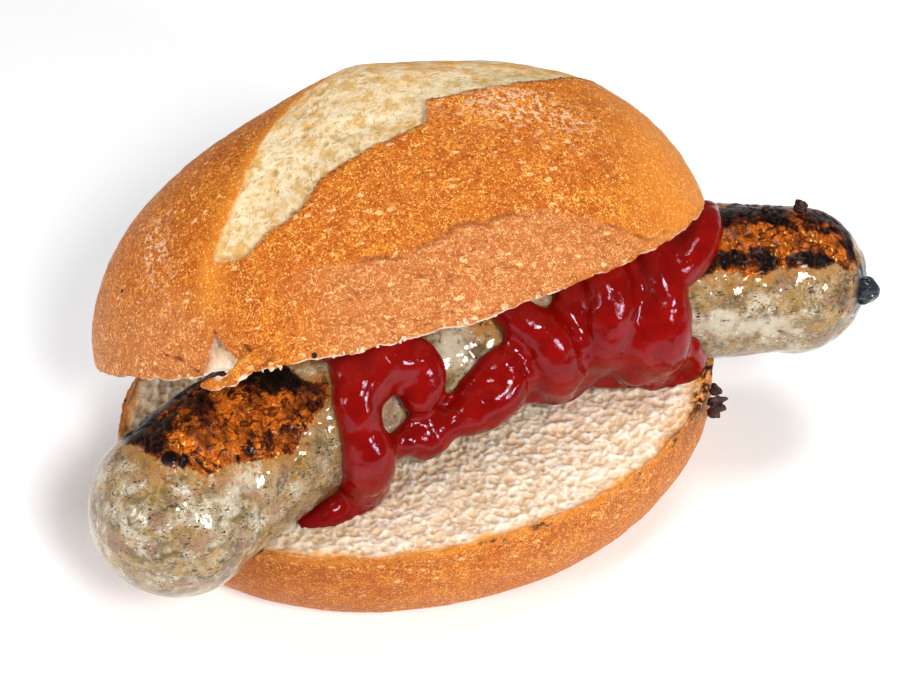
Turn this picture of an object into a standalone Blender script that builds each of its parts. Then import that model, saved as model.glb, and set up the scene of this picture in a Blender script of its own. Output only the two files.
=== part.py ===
"""A grilled bratwurst with ketchup in a split oval bread roll.

The lower half of the roll lies on its flat base, its long side along X and the base's middle at the
origin. The upper half is swung open about the back of the split and rests on the sausage, which lies
across the roll on a slant and sticks out at both ends. Ketchup hangs over the sausage's front side and
spreads on the crumb. Lengths are in metres and angles in degrees.
"""
import math

import bmesh
import bpy
import numpy as np
from mathutils import Euler, Matrix, Vector

# The lower half of the roll
ROLL_LENGTH = 0.1196
ROLL_WIDTH = 0.082
PLAN_POWER = 2.04            # of the roll's outline seen from above; 2 would be an ellipse
BASE_SHARE = 0.74            # of the length and width that lies flat on the table
WIDEST_HEIGHT = 0.0214       # where the lower crust bulges out most
BULGE = 0.006                # how much wider than the cut, as a share
SPLIT_HEIGHT = 0.0276        # of the cut face above the table, at its middle
SPLIT_RISE = 0.050           # the cut runs up towards the right, as a slope
SPLIT_HINGE = 0.0018         # how far the cut lifts at the back, where the upper half meets it
CUT_SAG = 0.0010             # of the soft crumb between the cut's edges

# The upper half, in its own frame: its cut face is level with its origin and its crown points up
LID_LENGTH = 0.1210
LID_WIDTH = 0.0850
LID_PLAN_POWER = 1.89
CROWN_HEIGHT = 0.0416
CROWN_LEAN_RIGHT = 0.07      # how much higher the crown is at the right end than at the middle, as a share
CROWN_LEAN_FRONT = 0.08      # the same at the front
CROWN_FULL_ENDS = 0.54       # how much fuller both ends are
HOLLOW = 0.0008              # how far the cut face bows up into the crown

# How the upper half lies
LID_TILT = 33.5              # front up
LID_ROLL = 8.1               # right end up
LID_YAW = -0.7               # right end back
LID_PLACE = Vector((-0.0017, 0.0082, 0.0506))

# The opened slash along the crown, in the upper half's frame: its front edge stands up as an ear,
# and its pale floor runs from a low step there back up to the crust
SLASH_FRONT = ((-0.033, -0.0255), (-0.028, -0.0280), (-0.019, -0.0280), (-0.009, -0.0247), (0.0105, -0.0208),
               (0.0120, -0.0158), (0.022, -0.0146), (0.030, -0.0118), (0.036, -0.0090), (0.041, -0.0057),
               (0.048, 0.0015))
SLASH_BACK = ((-0.033, -0.0255), (-0.026, -0.0197), (-0.020, -0.0125), (-0.014, -0.0066), (-0.007, -0.0019),
              (0.006, 0.0035), (0.021, 0.0065), (0.036, 0.0060), (0.048, 0.0015))
SLASH_DEPTH = 0.0022
SLASH_STEP = 0.0045          # how wide the step down from the front edge is
EAR_HEIGHT = 0.0007
EAR_WIDTH = 0.006

# The torn notch in the upper half's front rim
NOTCH_TURN = 234.0           # its direction from the middle of the roll, from +X
NOTCH_WIDTH = 0.0055
NOTCH_HEIGHT = 0.0075
NOTCH_DEPTH = 0.0050

# The sausage, from its near left end to its far right end
SAUSAGE_START = Vector((-0.0521, -0.0244, 0.0347))
SAUSAGE_RUN = 0.1354         # between the middles of its round ends
NEAR_RADIUS = 0.01625
FAR_RADIUS = 0.01465
HEADING_START = 34.8         # from +X towards +Y, at the near end
HEADING_END = -13.7
PITCH_START = 5.5            # up, at the near end
PITCH_END = -2.0
UNEVEN = 0.00035             # how far the filling swells and shrinks the casing
FAR_TIP = (0.88, 0.40, 0.25)   # its direction: onward, to the front and up
KNOT_LENGTH = 0.0045         # of the twisted casing at the far tip
KNOT_RADIUS = 0.0022

# The ketchup's runs. Each point gives the distance along the sausage, the angle round it from its top
# towards the front, the lift of the run's middle above the casing and the run's radius.
RUNS = {
    "line under the crown": ((0.038, 4, 0.0010, 0.0036), (0.060, 0, 0.0008, 0.0034),
                             (0.085, 6, 0.0010, 0.0040), (0.112, 4, 0.0008, 0.0036)),
    "left fall": ((0.050, 6, 0.0012, 0.0042), (0.049, 24, 0.0018, 0.0050), (0.043, 33, 0.0017, 0.0050),
                  (0.037, 43, 0.0018, 0.0048), (0.034, 63, 0.0013, 0.0037), (0.033, 84, 0.0016, 0.0046),
                  (0.031, 122, 0.0018, 0.0046), (0.024, 123, 0.0026, 0.0030), (0.019, 127, 0.0016, 0.0015)),
    "left drape": ((0.0445, 10, 0.0010, 0.0044), (0.044, 26, 0.0014, 0.0048), (0.041, 40, 0.0014, 0.0046)),
    "left lobe": ((0.038, 29, 0.0013, 0.0039), (0.045, 36, 0.0014, 0.0043), (0.051, 42, 0.0015, 0.0046),
                  (0.051, 56, 0.0014, 0.0043), (0.049, 63, 0.0013, 0.0037)),
    "bead": ((0.0445, 92, 0.0012, 0.0036), (0.048, 97, 0.0016, 0.0048), (0.052, 95, 0.0014, 0.0044)),
    "leaf": ((0.0555, 96, 0.0013, 0.0040), (0.0595, 93, 0.0019, 0.0054), (0.0645, 88, 0.0020, 0.0058),
             (0.0685, 80, 0.0017, 0.0052), (0.0695, 69, 0.0010, 0.0038)),
    "leaf's upper edge": ((0.058, 84, 0.0010, 0.0026), (0.062, 75, 0.0011, 0.0028),
                          (0.0665, 66, 0.0009, 0.0026), (0.071, 62, 0.0008, 0.0022)),
    "middle fall": ((0.071, 8, 0.0010, 0.0036), (0.074, 40, 0.0013, 0.0040), (0.0785, 57, 0.0017, 0.0050),
                    (0.080, 81, 0.0019, 0.0054), (0.081, 104, 0.0013, 0.0040)),
    "middle hem": ((0.070, 96, 0.0010, 0.0026), (0.075, 102, 0.0010, 0.0028), (0.083, 124, 0.0014, 0.0027),
                   (0.088, 106, 0.0008, 0.0020), (0.089, 84, 0.0004, 0.0013)),
    "hollow between": ((0.085, 8, 0.0006, 0.0034), (0.0865, 45, 0.0003, 0.0034), (0.087, 80, 0.0003, 0.0032),
                       (0.0875, 104, 0.0006, 0.0026)),
    "arch": ((0.091, 8, 0.0012, 0.0045), (0.093, 35, 0.0019, 0.0056), (0.0925, 56, 0.0019, 0.0054),
             (0.091, 77, 0.0016, 0.0044), (0.0905, 96, 0.0008, 0.0026)),
    "arch's hem": ((0.087, 108, 0.0008, 0.0022), (0.091, 113, 0.0010, 0.0025), (0.098, 124, 0.0016, 0.0028)),
    "right mass": ((0.1035, 50, 0.0014, 0.0044), (0.0995, 75, 0.0016, 0.0050), (0.098, 98, 0.0012, 0.0042)),
    "right fall": ((0.105, 6, 0.0012, 0.0044), (0.105, 26, 0.0017, 0.0050), (0.1055, 51, 0.0019, 0.0052),
                   (0.105, 80, 0.0020, 0.0055), (0.104, 118, 0.0015, 0.0042)),
    "right lobe": ((0.111, 92, 0.0008, 0.0023), (0.112, 119, 0.0013, 0.0034), (0.107, 120, 0.0024, 0.0030)),
    "far strand": ((0.117, -14, 0.0009, 0.0027), (0.115, 8, 0.0012, 0.0035), (0.111, 25, 0.0015, 0.0043),
                   (0.105, 36, 0.0016, 0.0047)),
}
RUN_STEP = 0.0015            # between a run's rings
MELT = 0.0010                # grain at which the runs flow together
KETCHUP_FACES = 2600

GAP = 0.0004                 # left between pieces that touch


def material(name, colour, roughness):
    made = bpy.data.materials.new(name)
    made.use_nodes = True
    shader = made.node_tree.nodes["Principled BSDF"]
    shader.inputs["Base Color"].default_value = (*colour, 1.0)
    shader.inputs["Roughness"].default_value = roughness
    return made


def show(name, mesh, finishes):
    """Put a bmesh into the scene as a named object with smooth rounds and crisp edges."""
    bmesh.ops.recalc_face_normals(mesh, faces=mesh.faces)
    data = bpy.data.meshes.new(name)
    mesh.to_mesh(data)
    mesh.free()
    data.shade_smooth()
    data.set_sharp_from_angle(angle=math.radians(50))
    for finish in finishes:
        data.materials.append(finish)
    made = bpy.data.objects.new(name, data)
    bpy.context.scene.collection.objects.link(made)
    return made


def add_skin(mesh, rings, first_tip, last_tip):
    """Join rings of points by quads, and each tip to the ring beside it by a fan."""
    loops = [[mesh.verts.new(p) for p in ring] for ring in rings]
    first, last = mesh.verts.new(first_tip), mesh.verts.new(last_tip)
    count = len(loops[0])
    for near, far in zip(loops, loops[1:]):
        for i in range(count):
            j = (i + 1) % count
            mesh.faces.new((near[i], near[j], far[j], far[i]))
    for i in range(count):
        j = (i + 1) % count
        mesh.faces.new((first, loops[0][j], loops[0][i]))
        mesh.faces.new((last, loops[-1][i], loops[-1][j]))


def outline(length, width, power, count):
    """Points of a superellipse, one for each direction."""
    turn = np.linspace(0, 2 * math.pi, count, endpoint=False)
    c, s = np.cos(turn), np.sin(turn)
    x = np.sign(c) * np.abs(c) ** (2 / power) * length / 2
    y = np.sign(s) * np.abs(s) ** (2 / power) * width / 2
    return np.column_stack([x, y])


def split_height(x, y):
    """Height of the lower cut face: it rises to the right and at the hinge, and sags in the middle."""
    across = y / (ROLL_WIDTH / 2)
    sag = CUT_SAG * np.clip(1 - (x / (ROLL_LENGTH / 2)) ** 2 - across ** 2, 0, 1)
    hinge = SPLIT_HINGE * np.clip(across, 0, 1) ** 3
    return SPLIT_HEIGHT + SPLIT_RISE * x + hinge - sag


def lower_half(finishes, around=72, sides=8):
    plan = outline(ROLL_LENGTH, ROLL_WIDTH, PLAN_POWER, around)

    def ring(share, height):
        flat = plan * share
        z = height(*flat.T) if callable(height) else np.full(around, height)
        return np.column_stack([flat, z])

    rings = [ring(BASE_SHARE * share, 0.0) for share in (0.5, 1.0)]
    for k in range(1, sides):
        turn = k / sides * math.pi / 2
        share = BASE_SHARE + (1 + BULGE - BASE_SHARE) * math.sin(turn) ** 0.9
        rings.append(ring(share, WIDEST_HEIGHT * (1 - math.cos(turn) ** 1.1)))
    rings.append(ring(1 + BULGE, WIDEST_HEIGHT))
    rings += [ring(share, split_height) for share in (1.0, 0.9, 0.7, 0.45, 0.2)]
    mesh = bmesh.new()
    add_skin(mesh, rings, (0, 0, 0), (0, 0, float(split_height(0, 0))))
    for face in mesh.faces:
        middle = face.calc_center_median()
        face.material_index = int(middle.z > split_height(middle.x, middle.y) - CUT_SAG)
    return show("bun_bottom", mesh, finishes)


def crown_relief(x, y):
    """How far the slash pushes the crown's surface out, at points of the upper half's frame."""
    front = np.interp(x, *np.transpose(SLASH_FRONT))
    back = np.interp(x, *np.transpose(SLASH_BACK))
    wide = np.maximum(back - front, 1e-6)
    share = np.clip((y - front) / wide, 0, 1)
    step = np.clip((y - front) / SLASH_STEP, 0, 1)
    floor = -SLASH_DEPTH * (1 - share) * step ** 2 * (3 - 2 * step)
    ear = EAR_HEIGHT * np.clip(1 - np.abs(y - front) / EAR_WIDTH, 0, 1)
    return (floor + ear) * np.clip(wide / 0.010, 0, 1)


def lid_pose():
    turn = Euler([math.radians(angle) for angle in (-LID_TILT, -LID_ROLL, LID_YAW)], "XYZ")
    return Matrix.Translation(LID_PLACE) @ turn.to_matrix().to_4x4()


def upper_half(finishes, around=84, rows=19):
    plan = outline(LID_LENGTH, LID_WIDTH, LID_PLAN_POWER, around)
    half = np.array([LID_LENGTH / 2, LID_WIDTH / 2, CROWN_HEIGHT])
    rings = []
    for k in range(1, rows + 1):
        turn = k / rows * math.pi / 2
        x, y = (plan * math.sin(turn) ** 1.45).T
        u, v = x / half[0], y / half[1]
        full = 1 + CROWN_LEAN_RIGHT * u - CROWN_LEAN_FRONT * v + CROWN_FULL_ENDS * u ** 2
        z = CROWN_HEIGHT * math.cos(turn) ** 1.36 * full
        out = np.column_stack([x, y, z]) / half ** 2
        out /= np.linalg.norm(out, axis=1)[:, None]
        rings.append(np.column_stack([x, y, z]) + out * crown_relief(x, y)[:, None])
    for share in (0.93, 0.75, 0.5, 0.25):
        rings.append(np.column_stack([plan * share, np.full(around, HOLLOW * (1 - share ** 2))]))
    mesh = bmesh.new()
    add_skin(mesh, rings, (0, 0, CROWN_HEIGHT + float(crown_relief(0, 0))), (0, 0, HOLLOW))
    for face in mesh.faces:
        face.material_index = int(face.calc_center_median().z < HOLLOW)
    lid = show("bun_top", mesh, finishes)
    lid.data.transform(lid_pose())
    return lid


def notch():
    """A wedge that stands in the upper half's rim, its edge up."""
    mesh = bmesh.new()
    w, h, d = NOTCH_WIDTH / 2, NOTCH_HEIGHT, NOTCH_DEPTH
    corners = [mesh.verts.new(p) for p in ((-w, -d, -h), (w, -d, -h), (0.3 * w, -d, h),
                                           (-w, d, -h), (w, d, -h), (0.3 * w, d, h))]
    for corner_set in ((0, 1, 2), (5, 4, 3), (0, 3, 4, 1), (1, 4, 5, 2), (2, 5, 3, 0)):
        mesh.faces.new([corners[i] for i in corner_set])
    wedge = show("notch", mesh, ())
    turn = math.radians(NOTCH_TURN)
    place = Vector((math.cos(turn) * LID_LENGTH / 2, math.sin(turn) * LID_WIDTH / 2, 0))
    wedge.data.transform(lid_pose() @ Matrix.Translation(place) @ Matrix.Rotation(turn + math.pi / 2, 4, "Z"))
    return wedge


def sausage_line(count=400):
    """Points along the sausage's middle and its direction, heading and pitch easing evenly."""
    along = np.linspace(0, 1, count)
    heading = np.radians(HEADING_START + (HEADING_END - HEADING_START) * along)
    pitch = np.radians(PITCH_START + (PITCH_END - PITCH_START) * along)
    way = np.stack([np.cos(pitch) * np.cos(heading), np.cos(pitch) * np.sin(heading), np.sin(pitch)], 1)
    step = SAUSAGE_RUN / (count - 1)
    places = np.vstack([np.zeros(3), np.cumsum((way[1:] + way[:-1]) / 2 * step, axis=0)])
    return places + np.array(SAUSAGE_START), way


def casing_radius(along):
    """Radius at a distance along the sausage: it thins evenly and swells a little here and there."""
    share = np.asarray(along) / SAUSAGE_RUN
    swell = UNEVEN * (np.sin(9.0 * share + 0.6) + 0.6 * np.sin(21.0 * share + 2.0))
    return NEAR_RADIUS + (FAR_RADIUS - NEAR_RADIUS) * share + swell * np.sin(math.pi * share) ** 0.5


def frame_at(along):
    """Middle, direction, front side and top side of the sausage at a distance along it."""
    places, way = sausage_line()
    share = np.clip(np.asarray(along) / SAUSAGE_RUN, 0, 1) * (len(places) - 1)
    index = np.arange(len(places))
    place = np.stack([np.interp(share, index, places[:, i]) for i in range(3)], -1)
    ahead = np.stack([np.interp(share, index, way[:, i]) for i in range(3)], -1)
    front = np.cross(ahead, [0, 0, 1.0])
    front /= np.linalg.norm(front, axis=-1, keepdims=True)
    return place, ahead, front, np.cross(front, ahead)


def sausage(finish, around=34, stations=26, cap_rings=6):
    """A bent tube with round ends, and a short twisted knot on the far one."""
    turn = np.linspace(0, 2 * math.pi, around, endpoint=False)

    def ring(middle, ahead, front, radius):
        side = front - ahead * np.dot(front, ahead)
        side /= np.linalg.norm(side)
        circle = np.outer(np.cos(turn), np.cross(side, ahead)) + np.outer(np.sin(turn), side)
        return middle + radius * circle

    def cap(along, way, tip, radius):
        """Rings on a ball, from its middle to its tip, turning from the sausage's way to the tip's."""
        middle, _, front, _ = frame_at(along)
        rings = []
        for k in range(1, cap_rings):
            lean = k / cap_rings * math.pi / 2
            out = way + (tip - way) * math.sin(lean)
            out /= np.linalg.norm(out)
            rings.append((middle + out * radius * math.sin(lean), out, front, radius * math.cos(lean)))
        return rings

    near, far = float(casing_radius(0)), float(casing_radius(SAUSAGE_RUN))
    start, ahead, _, _ = frame_at(0)
    end, onward, front, top = frame_at(SAUSAGE_RUN)
    tip = onward * FAR_TIP[0] + front * FAR_TIP[1] + top * FAR_TIP[2]
    tip /= np.linalg.norm(tip)
    near_cap = cap(0, -ahead, -ahead, near)
    spots = [(middle, -out, side, radius) for middle, out, side, radius in reversed(near_cap)]
    for along in np.linspace(0, SAUSAGE_RUN, stations + 1):
        middle, way, side, _ = frame_at(along)
        spots.append((middle, way, side, float(casing_radius(along))))
    spots += cap(SAUSAGE_RUN, onward, tip, far)
    for width, reach in ((1.0, 0.0), (1.15, 0.4), (0.8, 0.85)):
        spots.append((end + tip * (far + KNOT_LENGTH * (reach - 0.3)), tip, front, KNOT_RADIUS * width))
    mesh = bmesh.new()
    top_of_knot = end + tip * (far + KNOT_LENGTH * 0.7)
    add_skin(mesh, [ring(*spot) for spot in spots], start - ahead * near, top_of_knot)
    return show("sausage", mesh, [finish])


def smooth_path(points, step):
    """A Catmull-Rom curve through rows of numbers, with a row about every step of length."""
    points = np.array(points)
    padded = np.vstack([2 * points[0] - points[1], points, 2 * points[-1] - points[-2]])
    rows = []
    for a, b, c, d in zip(padded, padded[1:], padded[2:], padded[3:]):
        count = max(1, round(float(np.linalg.norm(c[:3] - b[:3])) / step))
        t = (np.arange(count) / count)[:, None]
        rows.append(0.5 * (2 * b + (c - a) * t + (2 * a - 5 * b + 4 * c - d) * t ** 2
                           + (3 * b - a - 3 * c + d) * t ** 3))
    return np.vstack(rows + [points[-1:]])


def add_run(mesh, run, around=12, cap_rings=3):
    """One tube of ketchup with round ends, its points placed on the sausage."""
    spots = []
    for along, angle, lift, radius in run:
        place, _, front, top = frame_at(along)
        out = math.cos(math.radians(angle)) * top + math.sin(math.radians(angle)) * front
        spots.append([*(place + out * (float(casing_radius(along)) + lift)), radius])
    path = smooth_path(spots, RUN_STEP)
    middle, radius = path[:, :3], path[:, 3]
    ahead = np.gradient(middle, axis=0)
    ahead /= np.linalg.norm(ahead, axis=1)[:, None]
    turn = np.linspace(0, 2 * math.pi, around, endpoint=False)
    side = Vector(ahead[0]).orthogonal()
    rings = []

    def ring(k, size, beyond=0.0):
        up = np.cross(ahead[k], side)
        circle = np.outer(np.cos(turn), side) + np.outer(np.sin(turn), up)
        return middle[k] + ahead[k] * beyond + size * circle

    lean = np.arange(1, cap_rings) / cap_rings * math.pi / 2
    for k in range(len(middle)):
        side = np.array(side) - ahead[k] * np.dot(side, ahead[k])
        side /= np.linalg.norm(side)
        if k == 0:
            rings += [ring(0, radius[0] * math.sin(a), -radius[0] * math.cos(a)) for a in lean]
        rings.append(ring(k, radius[k]))
    rings += [ring(-1, radius[-1] * math.cos(a), radius[-1] * math.sin(a)) for a in lean]
    add_skin(mesh, rings, middle[0] - ahead[0] * radius[0], middle[-1] + ahead[-1] * radius[-1])


def settle(thing):
    """Replace an object's mesh by what its modifiers make of it."""
    done = thing.evaluated_get(bpy.context.evaluated_depsgraph_get())
    data = bpy.data.meshes.new_from_object(done)
    thing.modifiers.clear()
    thing.data = data


def grown(thing):
    """A copy pushed out by the gap, to cut its neighbours with."""
    data = thing.data.copy()
    points = np.empty(len(data.vertices) * 3)
    out = np.empty(len(data.vertices) * 3)
    data.vertices.foreach_get("co", points)
    data.vertex_normals.foreach_get("vector", out)
    data.vertices.foreach_set("co", points + out * GAP)
    made = bpy.data.objects.new("cutter", data)
    bpy.context.scene.collection.objects.link(made)
    return made


def carve(thing, *cutters):
    for cutter in cutters:
        cut = thing.modifiers.new("cut", "BOOLEAN")
        cut.operation = "DIFFERENCE"
        cut.object = cutter
    bpy.context.view_layer.update()
    settle(thing)
    for cutter in cutters:
        bpy.data.objects.remove(cutter)


def ketchup(finish):
    """The runs, flowed together into one body and thinned to a modest number of faces."""
    mesh = bmesh.new()
    for run in RUNS.values():
        add_run(mesh, run)
    sauce = show("ketchup", mesh, [finish])
    melt = sauce.modifiers.new("melt", "REMESH")
    melt.mode = "VOXEL"
    melt.voxel_size = MELT
    ease = sauce.modifiers.new("ease", "SMOOTH")
    ease.factor = 0.5
    ease.iterations = 4
    bpy.context.view_layer.update()
    settle(sauce)
    sauce.data.materials.append(finish)
    thin = sauce.modifiers.new("thin", "DECIMATE")
    thin.ratio = min(1.0, KETCHUP_FACES / (2 * len(sauce.data.polygons)))
    bpy.context.view_layer.update()
    settle(sauce)
    return sauce


def main():
    for old in list(bpy.data.objects):
        bpy.data.objects.remove(old)
    crust = material("crust", (0.60, 0.27, 0.08), 0.5)
    crumb = material("crumb", (0.86, 0.76, 0.62), 0.9)
    casing = material("casing", (0.50, 0.45, 0.26), 0.3)
    sauce = material("ketchup", (0.35, 0.012, 0.010), 0.12)
    bratwurst = sausage(casing)
    bottom = lower_half([crust, crumb])
    top = upper_half([crust, crumb])
    carve(bottom, grown(bratwurst))
    carve(top, notch(), grown(bratwurst), grown(bottom))
    carve(ketchup(sauce), grown(bratwurst), grown(bottom), grown(top))


main()
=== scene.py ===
"""The finish of a grilled bratwurst with ketchup in a split oval bread roll.

Each half of the roll is a thin crust over a body of crumb, the sausage is a skinned tube with grill
marks, and the ketchup is a set of runs that flow together. Lengths are in metres and angles in degrees.
"""

import math

import bpy
import numpy as np
from mathutils import Euler, Matrix, Vector


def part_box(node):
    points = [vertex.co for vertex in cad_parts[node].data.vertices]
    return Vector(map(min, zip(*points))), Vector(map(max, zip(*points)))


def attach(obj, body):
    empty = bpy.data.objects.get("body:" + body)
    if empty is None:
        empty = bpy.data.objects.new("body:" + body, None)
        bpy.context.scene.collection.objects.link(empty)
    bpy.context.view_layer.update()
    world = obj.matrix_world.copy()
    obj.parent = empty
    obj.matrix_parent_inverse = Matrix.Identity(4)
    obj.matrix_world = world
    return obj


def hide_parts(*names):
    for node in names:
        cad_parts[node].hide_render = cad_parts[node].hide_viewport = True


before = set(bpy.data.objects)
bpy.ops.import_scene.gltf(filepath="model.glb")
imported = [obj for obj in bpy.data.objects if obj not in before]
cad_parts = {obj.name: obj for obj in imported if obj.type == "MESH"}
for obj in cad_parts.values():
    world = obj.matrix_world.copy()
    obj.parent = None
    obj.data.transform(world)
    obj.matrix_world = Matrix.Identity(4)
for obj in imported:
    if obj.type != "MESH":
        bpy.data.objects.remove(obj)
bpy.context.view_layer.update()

bl_info = {
    "name": "Bratwurst in a bun",
    "version": (1, 0, 0),
    "blender": (4, 5, 0),
    "location": "View3D > Sidebar > Bratwurst",
    "description": "Makes the crust, crumb, sausage and ketchup of a bratwurst in a bun",
    "category": "Add Mesh",
}

MM = 0.001

# The lower half of the roll
ROLL_LOW, ROLL_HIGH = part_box("bun_bottom")
BULGE = 0.006
ROLL_LENGTH = (ROLL_HIGH.x - ROLL_LOW.x) / (1 + BULGE)
ROLL_WIDTH = (ROLL_HIGH.y - ROLL_LOW.y) / (1 + BULGE)
PLAN_POWER = 2.04
BASE_SHARE = 0.74
WIDEST_HEIGHT = 0.0214
SPLIT_HEIGHT = 0.0276
SPLIT_RISE = 0.050
SPLIT_HINGE = 0.0018
CUT_SAG = 0.0010
ROLL_CRUST = 5 * MM
PIT_PLACE = np.array([-0.0125, -0.0365, 0.0115])

# The upper half, in its own frame
LID_LENGTH = 0.1210
LID_WIDTH = 0.0850
LID_PLAN_POWER = 1.89
CROWN_HEIGHT = 0.0416
CROWN_LEAN_RIGHT = 0.07
CROWN_LEAN_FRONT = 0.08
CROWN_FULL_ENDS = 0.54
CROWN_SPREAD = 1.45
CROWN_FALL = 1.36
HOLLOW = 0.0008
LID_CRUST = 4 * MM
LID_TURN = (-33.5, -8.1, -0.7)
LID_PLACE = Vector((-0.0017, 0.0082, 0.0506))

# The opened slash along the crown, in the upper half's frame
SLASH_FRONT = ((-0.033, -0.0255), (-0.028, -0.0280), (-0.019, -0.0280), (-0.009, -0.0247), (0.0105, -0.0208),
               (0.0120, -0.0158), (0.022, -0.0146), (0.030, -0.0118), (0.036, -0.0090), (0.041, -0.0057),
               (0.048, 0.0015))
SLASH_BACK = ((-0.033, -0.0255), (-0.026, -0.0197), (-0.020, -0.0125), (-0.014, -0.0066), (-0.007, -0.0019),
              (0.006, 0.0035), (0.021, 0.0065), (0.036, 0.0060), (0.048, 0.0015))
SLASH_LEDGE = ((-0.031, -0.0262), (-0.024, -0.0268))
# Floury spots: place along and across the upper half, half length and half width
DUSTED = ((-0.0425, -0.015, 0.003, 0.006), (0.028, -0.0175, 0.011, 0.004))
# The upper edge of the paler band above the front rim: heights above the cut face along X
BAND_EDGE = ((-0.060, 0.004), (-0.030, 0.010), (-0.018, 0.0148), (-0.001, 0.0134), (0.013, 0.0153),
             (0.0255, 0.0138), (0.034, 0.0098), (0.044, 0.002), (0.060, 0.0))

# The sausage
SAUSAGE_START = (-0.0521, -0.0244, 0.0347)
SAUSAGE_RUN = 0.1354
NEAR_RADIUS = 0.01625
FAR_RADIUS = 0.01465
HEADINGS = (34.8, -13.7)
PITCHES = (5.5, -2.0)
UNEVEN = 0.00035
FAR_TIP = (0.88, 0.40, 0.25)
KNOT_LENGTH = 0.0045
KNOT_RADIUS = 0.0022
SKIN_AROUND, SKIN_STATIONS, SKIN_CAP_RINGS = 250, 290, 44

# The ketchup's runs: distance along the sausage, angle round it from its top towards the front, lift of
# the run's middle above the casing, and radius
RUNS = {
    "line under the crown": ((0.038, 4, 0.0010, 0.0036), (0.060, 0, 0.0008, 0.0034),
                             (0.085, 6, 0.0010, 0.0040), (0.112, 4, 0.0008, 0.0036)),
    "left fall": ((0.050, 6, 0.0012, 0.0042), (0.049, 24, 0.0018, 0.0050), (0.043, 33, 0.0017, 0.0050),
                  (0.037, 43, 0.0018, 0.0048), (0.0347, 63, 0.0013, 0.0044), (0.0342, 84, 0.0016, 0.0053),
                  (0.032, 121, 0.0018, 0.0051), (0.024, 123, 0.0026, 0.0030), (0.019, 127, 0.0016, 0.0015)),
    "left drape": ((0.0445, 10, 0.0010, 0.0044), (0.044, 26, 0.0014, 0.0048), (0.041, 40, 0.0014, 0.0046)),
    "left lobe": ((0.038, 29, 0.0013, 0.0039), (0.045, 36, 0.0014, 0.0043), (0.051, 42, 0.0015, 0.0046),
                  (0.051, 56, 0.0014, 0.0043), (0.049, 63, 0.0013, 0.0037)),
    "bead": ((0.0445, 92, 0.0012, 0.0036), (0.048, 97, 0.0016, 0.0048), (0.052, 95, 0.0014, 0.0044)),
    "leaf": ((0.0555, 96, 0.0013, 0.0040), (0.0595, 93, 0.0019, 0.0054), (0.0645, 88, 0.0020, 0.0058),
             (0.0685, 80, 0.0017, 0.0052), (0.0695, 69, 0.0010, 0.0038)),
    "leaf's upper edge": ((0.058, 84, 0.0010, 0.0026), (0.062, 75, 0.0011, 0.0028),
                          (0.0665, 66, 0.0009, 0.0026), (0.071, 62, 0.0008, 0.0022)),
    "middle fall": ((0.071, 8, 0.0010, 0.0036), (0.074, 40, 0.0013, 0.0040), (0.0785, 57, 0.0017, 0.0050),
                    (0.080, 81, 0.0019, 0.0054), (0.081, 104, 0.0013, 0.0040)),
    "middle hem": ((0.070, 96, 0.0010, 0.0026), (0.075, 102, 0.0010, 0.0028), (0.083, 124, 0.0014, 0.0027),
                   (0.088, 106, 0.0008, 0.0020), (0.089, 84, 0.0004, 0.0013)),
    "hollow between": ((0.085, 8, 0.0006, 0.0034), (0.0865, 45, 0.0003, 0.0034), (0.087, 80, 0.0003, 0.0032),
                       (0.0875, 104, 0.0006, 0.0026)),
    "arch": ((0.091, 8, 0.0012, 0.0045), (0.093, 35, 0.0019, 0.0056), (0.0925, 56, 0.0019, 0.0054),
             (0.091, 77, 0.0016, 0.0044), (0.0905, 96, 0.0008, 0.0026)),
    "arch's hem": ((0.087, 108, 0.0008, 0.0022), (0.091, 113, 0.0010, 0.0025), (0.098, 124, 0.0016, 0.0028)),
    "right mass": ((0.1025, 50, 0.0016, 0.0048), (0.1000, 75, 0.0019, 0.0055), (0.099, 98, 0.0016, 0.0048)),
    "right fall": ((0.105, 6, 0.0012, 0.0044), (0.1042, 26, 0.0017, 0.0050), (0.1045, 51, 0.0019, 0.0052),
                   (0.104, 80, 0.0020, 0.0055), (0.1035, 118, 0.0015, 0.0042)),
    "right lobe": ((0.111, 92, 0.0008, 0.0023), (0.112, 119, 0.0013, 0.0034), (0.107, 120, 0.0024, 0.0030)),
    "far strand": ((0.117, -14, 0.0009, 0.0027), (0.115, 8, 0.0012, 0.0035), (0.111, 25, 0.0015, 0.0043),
                   (0.105, 36, 0.0016, 0.0047)),
}

# Grill marks on the sausage: an angle round it, and outlines of distance in millimetres along it and
# degrees from that angle
GRILL_MARKS = (
    (0, ((10, -110), (20, -80), (25, -30), (31, 10), (34, 24), (32, 37), (26, 44), (20, 49), (14, 47),
         (6, 35), (2, 18), (-1, -3), (-1, -30), (0, -70), (2, -105))),
    (0, ((58, -60), (60, 10), (66, 30), (70, 42), (66, 36), (80, 10), (92, -50))),
    (0, ((118, -62), (126, -74), (136, -72), (145, -52), (149, -8), (147, 20), (141, 32), (133, 35),
         (124, 38), (117, 40), (108, 46), (104, 20), (110, -55))),
    (180, ((12, -30), (20, -42), (38, -28), (46, 5), (40, 34), (22, 40), (10, 18))),
    (180, ((62, -18), (72, -34), (92, -26), (98, 8), (88, 30), (68, 28))),
    (180, ((106, -30), (118, -40), (134, -20), (136, 14), (124, 34), (108, 22))),
)
MARK_RADIUS = 0.0158
# A blister of casing at the near end: distance, angle and radius
BLISTER = (0.001, 3, 0.0021)
# Whitish patches of fat: distance in millimetres, angle, half length in millimetres, half width in degrees
FAT_PATCHES = ((126, 81, 9, 13), (118, 74, 4, 12), (9, 44, 7, 13), (58, 46, 8, 16))

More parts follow.
